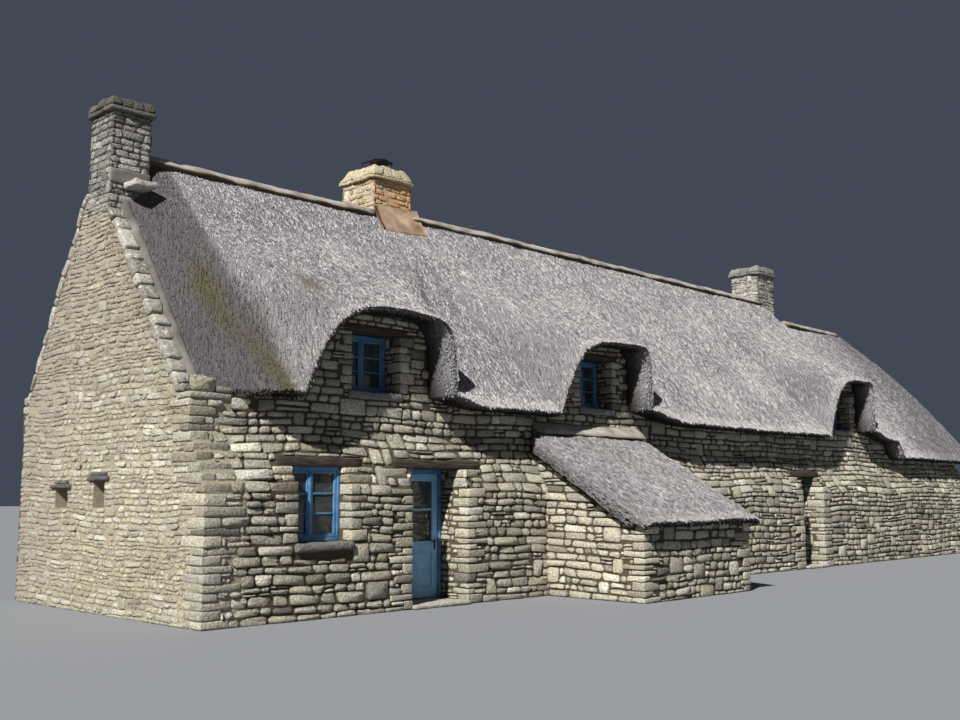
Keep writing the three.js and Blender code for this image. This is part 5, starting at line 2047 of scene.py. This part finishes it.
@dataclass
class MortarWork:
  """Rolls of mortar on the ridge, the apron by the middle chimney, the lean-to's strip."""

  half: float = 0.14

  def roll(self, name: str, x0: float, x1: float, seed: int) -> None:
    """Builds one length of the ridge's mortar cap.

    Args:
      name: which length.
      x0, x1: its west and east end.
      seed: picks its unevenness.
    """
    shape, wave, fine = Shape(), Ripple(seed, 0.9), Ripple(seed + 1, 0.22)
    x = np.linspace(x0, x1, max(int((x1 - x0) / 0.1), 8))
    profile = ((-1.0, -0.11), (-0.99, -0.082), (-0.96, -0.064), (-0.6, -0.004), (-0.2, 0.03), (0.15, 0.034),
               (0.6, 0.0), (0.95, -0.064), (1.0, -0.11), (0.5, -0.15), (-0.5, -0.15))
    rings = []
    for across, up in profile:
      line = xyz(x, ROOF.ridge_y + across * self.half, ROOF.cap_height(x) + up)
      bump = wave.at(line) * 0.012 + fine.at(line) * 0.005
      line[:, 1] += np.sign(across) * bump * 1.6 * (abs(across) > 0.9)
      line[:, 2] += bump if up > -0.15 else 0
      rings.append(line)
    # Painted shadow: the points under the roll's overhanging edge take the dark stain colour
    foot = np.tile([0.95 if up < -0.08 else 0.0 for _, up in profile], len(x))
    shape.loft(np.stack(rings, axis=1), 0.55, foot)
    shape.build(f"ridge_roll_{name}", Cloth.MORTAR, "mortar", f"ridge_cap_{name}")

  def apron(self) -> None:
    """Builds the apron at the foot of the middle chimney."""
    stack, shape, ripple = STACKS["middle"], Shape(), Ripple(95, 0.35)
    steps = np.tile([-0.27, -0.25, -0.15, -0.06, -0.001], 16)
    x, y = np.repeat(np.linspace(stack.x0 + 0.01, stack.x1 + 0.17, 16), 5), stack.y0 + steps
    top = xyz(x, y, ROOF.front_top(x, y) + np.tile([-0.02, 0.034, 0.075, 0.13, 0.19], 16))
    top[:, 2] += 0.01 * ripple.at(top)
    top[:, 1] -= 0.012 * ripple.at(top[:, ::-1]) * (steps < -0.2)
    low = xyz(x, top[:, 1], ROOF.front_top(x, y) - 0.1)
    # Painted shadow: the apron's lower edge and its under side take the dark stain colour
    dark = np.concatenate([np.where(steps < -0.26, 0.95, 0.0), np.full(80, 0.95)])
    shape.plate(top, low, 16, 0.62, dark)
    shape.build("chimney_apron", Cloth.RUSTED_MORTAR, "mortar", "chimney_middle_apron")

  def leanto_strip(self) -> None:
    """Builds the mortar strip where the lean-to's thatch meets the wall."""
    shape, ripple = Shape(), Ripple(97, 0.5)
    x = np.linspace(LEANTO.x0 + 0.09, LEANTO.x1 + 0.02, 40)
    profile = ((-0.25, 0.025), (-0.262, 0.06), (-0.2, 0.088), (-0.1, 0.1), (-0.002, 0.1), (-0.002, -0.06))
    rings = []
    for y, up in profile:
      line = xyz(x, y, LEANTO.top(y) + up)
      bump = ripple.at(line)
      line[:, 1] += 0.016 * bump * (y < -0.15)
      line[:, 2] += 0.01 * bump * (up > 0)
      rings.append(line)
    # Painted shadow: the strip's lower points take the dark stain colour
    foot = np.tile([0.95 if up < 0.05 else 0.0 for _, up in profile], 40)
    shape.loft(np.stack(rings, axis=1), 0.62, foot)
    shape.build("leanto_mortar_strip", Cloth.MORTAR, "mortar", "leanto_cap")

  def dress(self) -> None:
    """Builds all mortar work."""
    west, middle, east = STACKS["west"], STACKS["middle"], STACKS["east"]
    self.roll("west", west.x1 + 0.002, middle.x0 - 0.002, 101)
    self.roll("middle", middle.x1 + 0.002, east.x0 - 0.002, 103)
    self.roll("east", 19.15, ROOF.hip_ridge_end - 0.04, 105)
    self.apron()
    self.leanto_strip()


# Chimneys


@dataclass
class Chimneys:
  """Stones of the three stacks with their slabs, caps and cowl."""

  flue: float = 0.26
  slab: float = 0.07
  overhang: float = 0.065
  cap_overhang: float = 0.06
  cap_stones: int = 4
  drip: tuple[Point, Point] = ((0.18, 1.9, 5.79), (0.53, 2.268, 5.88))
  band: Pair = (5.87, 6.08)

  def stack_stones(self, name: str, stack: Stack, shape: Shape, seed: int) -> None:
    """Faces one stack on its four sides.

    Args:
      name: which chimney.
      stack: its plan.
      shape: the mesh.
      seed: picks the stones.
    """
    over, drift = 0.014, Ripple(seed + 9, 0.14)

    def weather(points: Array) -> tuple[Array, Array]:
      """Soot under the slab; rust washed down the middle stack."""
      below = stack.shaft - points[:, 2]
      if name != "middle":
        return np.clip(0.5 * np.exp(-below / 0.12), 0, 0.7), np.zeros(len(points))
      along = smooth((points[:, 0] - stack.x0 - 0.03) / 0.2)
      run = drift.at(points * np.array([1.0, 1.0, 0.25]))
      rust = (0.4 + along * (0.4 + 0.4 * run)) * (points[:, 1] < stack.y0 + 0.03)
      return np.clip(rust, 0, 0.9), np.zeros(len(points))

    faces = (Face(0, stack.x0, -1), Face(0, stack.x1, 1), Face(1, stack.y0, -1), Face(1, stack.y1, 1))
    for number, face in enumerate(faces):
      low, high = (stack.y0, stack.y1) if face.axis == 0 else (stack.x0, stack.x1)
      RubbleFace(oblong(low - over, stack.seen_from, high + over, stack.shaft), face, course=(0.075, 0.135),
                 ratio=(1.3, 3.2), relief=0.013, joint=0.004, waver=0.014, seed=seed + number,
                 weather=weather).lay(shape)

  def ring(self, shape: Shape, mason: Mason, stack: Stack, capping: bool) -> None:
    """Lays a ring around the flue.

    Args:
      shape: the mesh.
      mason: makes the blocks.
      stack: the chimney.
      capping: the stones of the cap, or else the thin slabs under them.
    """
    z0, z1, over = stack.shaft, stack.shaft + self.slab, self.overhang
    if capping:
      z0, z1, over = z1, stack.cap, self.cap_overhang
    x0, x1, y0, y1 = stack.x0 - over, stack.x1 + over, stack.y0 - over, stack.y1 + over
    fx, fy, f = (stack.x0 + stack.x1) / 2, (stack.y0 + stack.y1) / 2, self.flue / 2

    def lean(points: Array) -> Array:
      """Draws the top of the stones in."""
      share = np.clip((points[:, 2:] - z0) / (z1 - z0), 0, 1) * stack.taper * capping
      sides = points[:, :2] - np.array([fx, fy])
      reach = np.clip((np.abs(sides) - f) / 0.25, 0, 1)
      return np.concatenate([points[:, :2] - np.sign(sides) * reach * share, points[:, 2:]], axis=1)

    spans = [((x0, x1), (y0, fy - f)), ((x0, x1), (fy + f, y1)), ((x0, fx - f), (fy - f, fy + f)),
             ((fx + f, x1), (fy - f, fy + f))]
    for number, (xs, ys) in enumerate(spans):
      pieces = self.cap_stones if capping and number < 2 else 1
      for k in range(pieces):
        a, b = lerp(*xs, k / pieces), lerp(*xs, (k + 1) / pieces)
        rise = mason.rng.uniform(-0.03, 0.0) if capping else 0.0
        moss = stack.moss * mason.rng.uniform(0.6, 1.1)
        tint = np.clip(mason.rng.normal(stack.tint + 0.1 * capping, 0.1), 0, 1)
        mason.block(shape, (a + 0.002, ys[0] + 0.002, z0 + 0.002), (b - 0.002, ys[1] - 0.002, z1 + rise),
                    0.024, (5, 5, 4), tint, moss, lean, 0.012 * capping)

  def cowl(self) -> None:
    """Builds the folded sheet on its legs over the middle flue."""
    stack = STACKS["middle"]
    cx, cy = (stack.x0 + stack.x1) / 2, (stack.y0 + stack.y1) / 2
    shape = Shape()
    half, rise = 0.21, stack.cap + 0.15
    x, y = np.repeat(np.linspace(-half, half, 9), 7), np.tile(np.linspace(-half, half, 7), 9)
    fold = 0.045 * (1 - np.abs(x) / half) ** 1.3
    top = xyz(cx + x, cy + y, rise + fold + 0.008 + 0.02 * y)
    shape.plate(top, top - np.array([0, 0, 0.006]), 9)
    mason = Mason(111, rough=0.0)
    for sx, sy in ((-1, -1), (-1, 1), (1, -1), (1, 1)):
      x0, y0 = cx + sx * 0.185, cy + sy * 0.185
      mason.block(shape, (x0 - 0.008, y0 - 0.008, stack.cap - 0.005), (x0 + 0.008, y0 + 0.008, rise + 0.01),
                  radius=0.002)
    shape.build("chimney_cowl", Cloth.SHEET, "sheet_metal", "chimney_middle_cowl", flat=True)

  def dress(self) -> None:
    """Builds every chimney."""
    cloths = {"west": Cloth.CHIMNEY_STONE, "middle": Cloth.WARM_STONE, "east": Cloth.CHIMNEY_STONE}
    for number, (name, stack) in enumerate(STACKS.items()):
      stones, cap = Shape(), Shape()
      self.stack_stones(name, stack, stones, 120 + 10 * number)
      stones.build(f"chimney_{name}_stones", cloths[name], "rubble_stone")
      mason = Mason(150 + number, rough=0.012, wavelength=0.16)
      for capping in (False, True):
        self.ring(cap, mason, stack, capping)
      cap.build(f"chimney_{name}_slabs", cloths[name], "pale_stone", f"chimney_{name}_cap")
    drip = Shape()
    Mason(160, rough=0.008, wavelength=0.2).block(
        drip, *self.drip, radius=0.02, cells=(5, 5, 3), tint=0.95)
    drip.build("chimney_drip_slab", Cloth.DRESSED_STONE, "pale_stone", "chimney_west_drip_slab")
    stack, band = STACKS["west"], Shape()
    Mason(161, rough=0.006, wavelength=0.3).block(
        band, (stack.x0 - 0.02, stack.y0 - 0.034, self.band[0]),
        (stack.x1 + 0.02, stack.y0 + 0.03, self.band[1]), 0.02, (12, 3, 6), 0.85, skew=0.015)
    band.build("chimney_mortar_band", Cloth.GREY_MORTAR, "mortar")
    self.cowl()


# Joinery, lintels, sills and thresholds


@dataclass
class Window:
  """A pair of glazed casements in a frame."""

  name: str
  hole: Rect
  y: float
  pane_rows: int = 3
  frame: float = 0.045
  stile: float = 0.048
  bar: float = 0.022
  depth: float = 0.07

  def dress(self, seed: int) -> None:
    """Builds frame, casements, bars and glass.

    Args:
      seed: picks its unevenness.
    """
    x0, z0, x1, z1 = self.hole
    z1 -= 0.003
    frame, stile, lap = self.frame, self.stile, 0.004
    y0, y1 = self.y, self.y + self.depth
    leaf0, leaf1 = y0 + 0.012, y1 - 0.012
    low, high, middle = z0 + frame, z1 - frame, (x0 + x1) / 2
    bars = [
        (x0 + 0.001, x0 + frame, y0, y1, z0 + 0.001, z1),
        (x1 - frame, x1 - 0.001, y0, y1, z0 + 0.001, z1),
        (x0 + frame - lap, x1 - frame + lap, y0, y1, high, z1),
        (x0 + frame - lap, x1 - frame + lap, y0 - 0.01, y1, z0 + 0.001, low),
    ]
    for a, b in ((x0 + frame, middle - 0.0015), (middle + 0.0015, x1 - frame)):
      inner, rail = (a + stile - 0.003, b - stile + 0.003), low + stile * 1.2
      bars += [(a, a + stile, leaf0, leaf1, low, high), (b - stile, b, leaf0, leaf1, low, high),
               (*inner, leaf0, leaf1, low, rail), (*inner, leaf0, leaf1, high - stile, high)]
      for k in range(1, self.pane_rows):
        z = lerp(rail, high - stile, k / self.pane_rows)
        bars.append((*inner, leaf0 + 0.006, leaf1 - 0.006, z - self.bar / 2, z + self.bar / 2))
    bars.append((x0 + frame, x1 - frame, y0 - 0.004, leaf0 + 0.012, low, low + 0.035))
    bars.append((middle - 0.02, middle + 0.02, y0 + 0.002, leaf0 + 0.01, low, high))
    shape, glass, pane = Shape(), Shape(), (leaf0 + leaf1) / 2
    Mason(seed, rough=0.0007).bars(shape, bars)
    shape.build(f"{self.name}_casements", Cloth.BLUE, "blue_paint", self.name)
    for a, b in ((x0 + frame + stile, middle - stile), (middle + stile, x1 - frame - stile)):
      span = (a - lap, b + lap, pane - 0.002, pane + 0.002, low + 0.03, high - 0.02)
      Mason(seed + 1, rough=0.0).bars(glass, [span], 0.0005)
    glass.build(f"{self.name}_glass", Cloth.GLASS, "")


@dataclass
class Door:
  """A half-glazed door in its frame, with its leaf on hinges."""

  name: str
  hole: Rect
  jamb: float = 0.06
  depth: float = 0.0652
  head: float = 1.9244
  front: float = 0.15
  leaf_front: float = 0.17
  leaf_thick: float = 0.045
  stile: float = 0.11
  hinges: tuple[float, ...] = (0.3, 1.0, 1.64)

  def dress_frame(self, seed: int) -> None:
    """Builds the fixed frame.

    Args:
      seed: picks its unevenness.
    """
    x0, z0, x1, _ = self.hole
    shape, mason = Shape(), Mason(seed, rough=0.0007)
    inner, near, far, head = self.jamb, self.front, self.front + self.depth, self.head
    mason.bars(shape, [
        (x0 + 0.001, x0 + inner, near, far, z0 + 0.001, head),
        (x1 - inner, x1 - 0.001, near, far, z0 + 0.001, head),
        (x0 + inner - 0.004, x1 - inner + 0.004, near, far, head - inner, head),
    ])
    middles = (x0 + inner * 0.5, x1 - inner * 0.5)
    beads = [(x - 0.012, x + 0.012, near - 0.006, near + 0.004, z0 + 0.002, head - 0.02) for x in middles]
    mason.bars(shape, beads, 0.003)
    shape.build(f"door_{self.name}_jambs", Cloth.BLUE, "blue_paint", f"door_{self.name}_frame")

  def dress_leaf(self, seed: int) -> None:
    """Builds the swinging leaf with its glass, panel and hinges.

    Args:
      seed: picks its unevenness.
    """
    x0, z0, x1, _ = self.hole
    left, right = x0 + self.jamb + 0.006, x1 - self.jamb - 0.008
    foot, top = z0 + 0.008, self.head - self.jamb - 0.006
    front, back = self.leaf_front, self.leaf_front + self.leaf_thick
    stile, lock = self.stile, lerp(foot, top, 0.42)
    inner, bar = (left + stile - 0.004, right - stile + 0.004), lerp(lock, top, 0.5)
    shape, mason = Shape(), Mason(seed, rough=0.0006)
    mason.bars(shape, [
        (left, left + stile, front, back, foot, top),
        (right - stile, right, front, back, foot, top),
        (*inner, front, back, top - stile, top),
        (*inner, front, back, lock - 0.06, lock + 0.06),
        (*inner, front, back, foot, foot + 0.15),
        (*inner, front + 0.008, back - 0.008, bar - 0.014, bar + 0.014),
        (*inner, front + 0.016, back - 0.016, foot + 0.14, lock - 0.05),
        (inner[0] + 0.05, inner[1] - 0.05, front + 0.006, front + 0.02, foot + 0.2, lock - 0.11),
        (*inner, front - 0.006, front + 0.01, lock + 0.042, lock + 0.06),
    ])
    for z in self.hinges:
      self.knuckle(shape, mason, left - 0.003, back + 0.008, z)
    name, body, pane = f"door_{self.name}", f"{self.name}_door", front + self.leaf_thick / 2
    shape.build(f"{name}_leaf_joinery", Cloth.PALE_BLUE, "blue_paint", f"{name}_leaf", body)
    glass, latch, iron = Shape(), Shape(), Mason(seed + 2, rough=0.0)
    span = (left + stile - 0.006, right - stile + 0.006, pane - 0.002, pane + 0.002,
            lock + 0.055, top - stile + 0.006)
    Mason(seed + 1, rough=0.0).bars(glass, [span], 0.0005)
    glass.build(f"{name}_glass", Cloth.GLASS, "", body=body)
    for span, radius in (
        ((right - 0.07, right - 0.04, front - 0.004, front + 0.002, lock - 0.07, lock + 0.09), 0.002),
        ((right - 0.062, right - 0.048, front - 0.04, front, lock + 0.045, lock + 0.059), 0.004),
        ((right - 0.15, right - 0.045, front - 0.046, front - 0.034, lock + 0.044, lock + 0.06), 0.005),
    ):
      iron.bars(latch, [span], radius)
    latch.build(f"{name}_latch", Cloth.SHEET, "sheet_metal", body=body)

  def knuckle(self, shape: Shape, mason: Mason, x: float, y: float, z: float) -> None:
    """Adds a hinge knuckle with its strap.

    Args:
      shape: the mesh.
      mason: makes the strap.
      x, y, z: the pin's middle.
    """
    turn = np.arange(12) / 12 * 2 * math.pi
    # Height over the middle and radius of each ring, from the top
    rings = [xyz(x + r * np.cos(turn), y + r * np.sin(turn), z + height)
             for height, r in ((0.045, 0.0055), (0.042, 0.008), (-0.042, 0.008), (-0.045, 0.0055))]
    shape.loft(np.array(rings))
    mason.block(shape, (x + 0.004, y - 0.0095, z - 0.04), (x + 0.11, y - 0.0045, z + 0.04), radius=0.0015)


@dataclass
class Openings:
  """Lintels, sills, thresholds, windows and doors."""

  def beams(self) -> None:
    """Builds the oak lintels."""
    mason = Mason(171, rough=0.006, wavelength=0.4)
    spans = [(name, (x0, -0.212, LINTEL_Z[0] - 0.004), (x1, 0.6, LINTEL_Z[1]), 0.014, 14)
             for name, (x0, x1) in LINTELS.items()]
    for name, (x0, _, x1, z1) in DORMERS.items():
      low, high = (x0 - 0.12, -0.012, z1 + 0.002), (x1 + 0.12, 0.6, z1 + 0.09)
      spans.append((f"lintel_dormer_{name}", low, high, 0.012, 10))
    for name, low, high, radius, parts in spans:
      shape = Shape()
      mason.block(shape, low, high, radius, (parts, 4, 3))
      shape.build(f"{name}_beam", Cloth.OAK, "weathered_oak", name)

  def stones(self) -> None:
    """Builds the sills and thresholds."""
    mason = Mason(181, rough=0.008, wavelength=0.25)
    x0, z0, x1, _ = GROUND_WINDOW
    rows = [("sill_ground_stone", "sill_window_ground", Cloth.SILL_STONE, (x0 - 0.03, -0.47, z0 - 0.11),
             (x1 + 0.03, -0.12, z0 - 0.001), 0.035, (10, 5, 4), 0.35)]
    for name, (x0, z0, x1, _) in DORMERS.items():
      rows.append((f"sill_dormer_{name}_stone", f"sill_dormer_{name}", Cloth.SILL_STONE,
                   (x0 - 0.03, -0.055, z0 - 0.11), (x1 + 0.03, 0.26, z0 - 0.001), 0.03, (9, 5, 4), 0.7))
    for name, (x0, z0, x1, _) in DOORS.items():
      rows.append((f"door_{name}_step", f"door_{name}_threshold", Cloth.DRESSED_STONE,
                   (x0 + 0.002, -0.49, 0.002), (x1 - 0.002, 0.6, z0 - 0.004), 0.02, (10, 8, 3), 0.8))
    for name, node, cloth, low, high, radius, cells, tint in rows:
      shape = Shape()
      mason.block(shape, low, high, radius, cells, tint)
      shape.build(name, cloth, "pale_stone", node)

  def dress(self) -> None:
    """Builds them all."""
    self.beams()
    self.stones()
    Window("window_ground", GROUND_FRAME, -0.16).dress(201)
    for number, (name, hole) in enumerate(DORMERS.items()):
      Window(f"window_dormer_{name}", hole, 0.32).dress(210 + 3 * number)
    for number, hole in enumerate(REAR_WINDOWS):
      Window(f"window_rear_{number + 1}", hole, 4.43).dress(230 + 3 * number)
    for number, (name, hole) in enumerate(DOORS.items()):
      door = Door(name, hole)
      door.dress_frame(250 + 10 * number)
      door.dress_leaf(251 + 10 * number)


# What the CAD shows itself


class Carcass:
  """Finishes of the CAD nodes that stay in view."""

  def dress(self) -> None:
    """Gives each node its finish."""
    chosen = {name: Cloth.BEDDING for name in frame["nodes"] if "wall" in name}
    chosen["ground_floor"], chosen["loft_floor"] = Cloth.FLAGS, Cloth.BOARDS
    chosen["gable_wall_west"] = Cloth.PALE_BEDDING
    for name in STACKS:
      chosen[f"chimney_{name}_stack"] = Cloth.WARM_BEDDING if name == "middle" else Cloth.GREY_BEDDING
    for name, cloth in chosen.items():
      node = frame["nodes"][name]
      node.data.materials.clear()
      node.data.materials.append(material(cloth))
    log.info("finishes on %d nodes of the frame", len(chosen))


# Camera, light and floor


@dataclass(frozen=True)
class Studio:
  """Camera at the photograph's viewing angle, one soft key light, a pale surround."""

  eye: Point = (-18.727, -14.065, 1.572)
  turn: Point = (97.038, 0.0, -45.74)
  lens: float = 40.5
  sun_from: Point = (-0.696, -0.258, 0.67)
  sun_strength: float = 7.0
  sun_softness: float = 1.2
  sky: float = 0.12

  def camera(self) -> None:
    """Places the camera."""
    data = bpy.data.cameras.new("camera")
    data.sensor_width = 36.0
    data.lens = self.lens
    data.clip_end = 500.0
    made = placed("camera", data)
    made.location = self.eye
    made.rotation_euler = [math.radians(a) for a in self.turn]
    bpy.context.scene.camera = made

  def light(self) -> None:
    """Places the key light and the pale surround."""
    data = bpy.data.lights.new("key", "SUN")
    data.energy = self.sun_strength
    data.angle = math.radians(self.sun_softness)
    data.color = linear("#fffaf2")[:3]
    made = placed("key", data)
    made.rotation_mode = "QUATERNION"
    made.rotation_quaternion = (-Vector(self.sun_from)).to_track_quat("-Z", "Y")
    world = bpy.data.worlds.new("surround")
    world.use_nodes = True
    surround = world.node_tree.nodes["Background"].inputs
    surround["Color"].default_value = linear("#b4c4e2")
    surround["Strength"].default_value = self.sky
    bpy.context.scene.world = world
    bpy.context.scene.view_settings.view_transform = "Standard"

  def floor(self) -> None:
    """Lays the pale floor."""
    half, level = 120.0, -0.003
    mesh = bpy.data.meshes.new("floor")
    corners = [(-half, -half, level), (half, -half, level), (half, half, level), (-half, half, level)]
    mesh.from_pydata(corners, [], [(0, 1, 2, 3)])
    mesh.materials.append(StudioFloor().make())
    placed("floor", mesh)

  def set(self) -> None:
    """Sets camera, light and floor."""
    self.camera()
    self.light()
    self.floor()


def main() -> None:
  """Builds the dressed cottage, piece by piece."""
  logging.basicConfig(level=logging.INFO, format="%(message)s")
  Studio().set()
  Carcass().dress()
  dress_thatch(dense=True)
  Walls().dress()
  Gable().dress()
  MortarWork().dress()
  Chimneys().dress()
  Openings().dress()


if __name__ == "__main__":
  main()
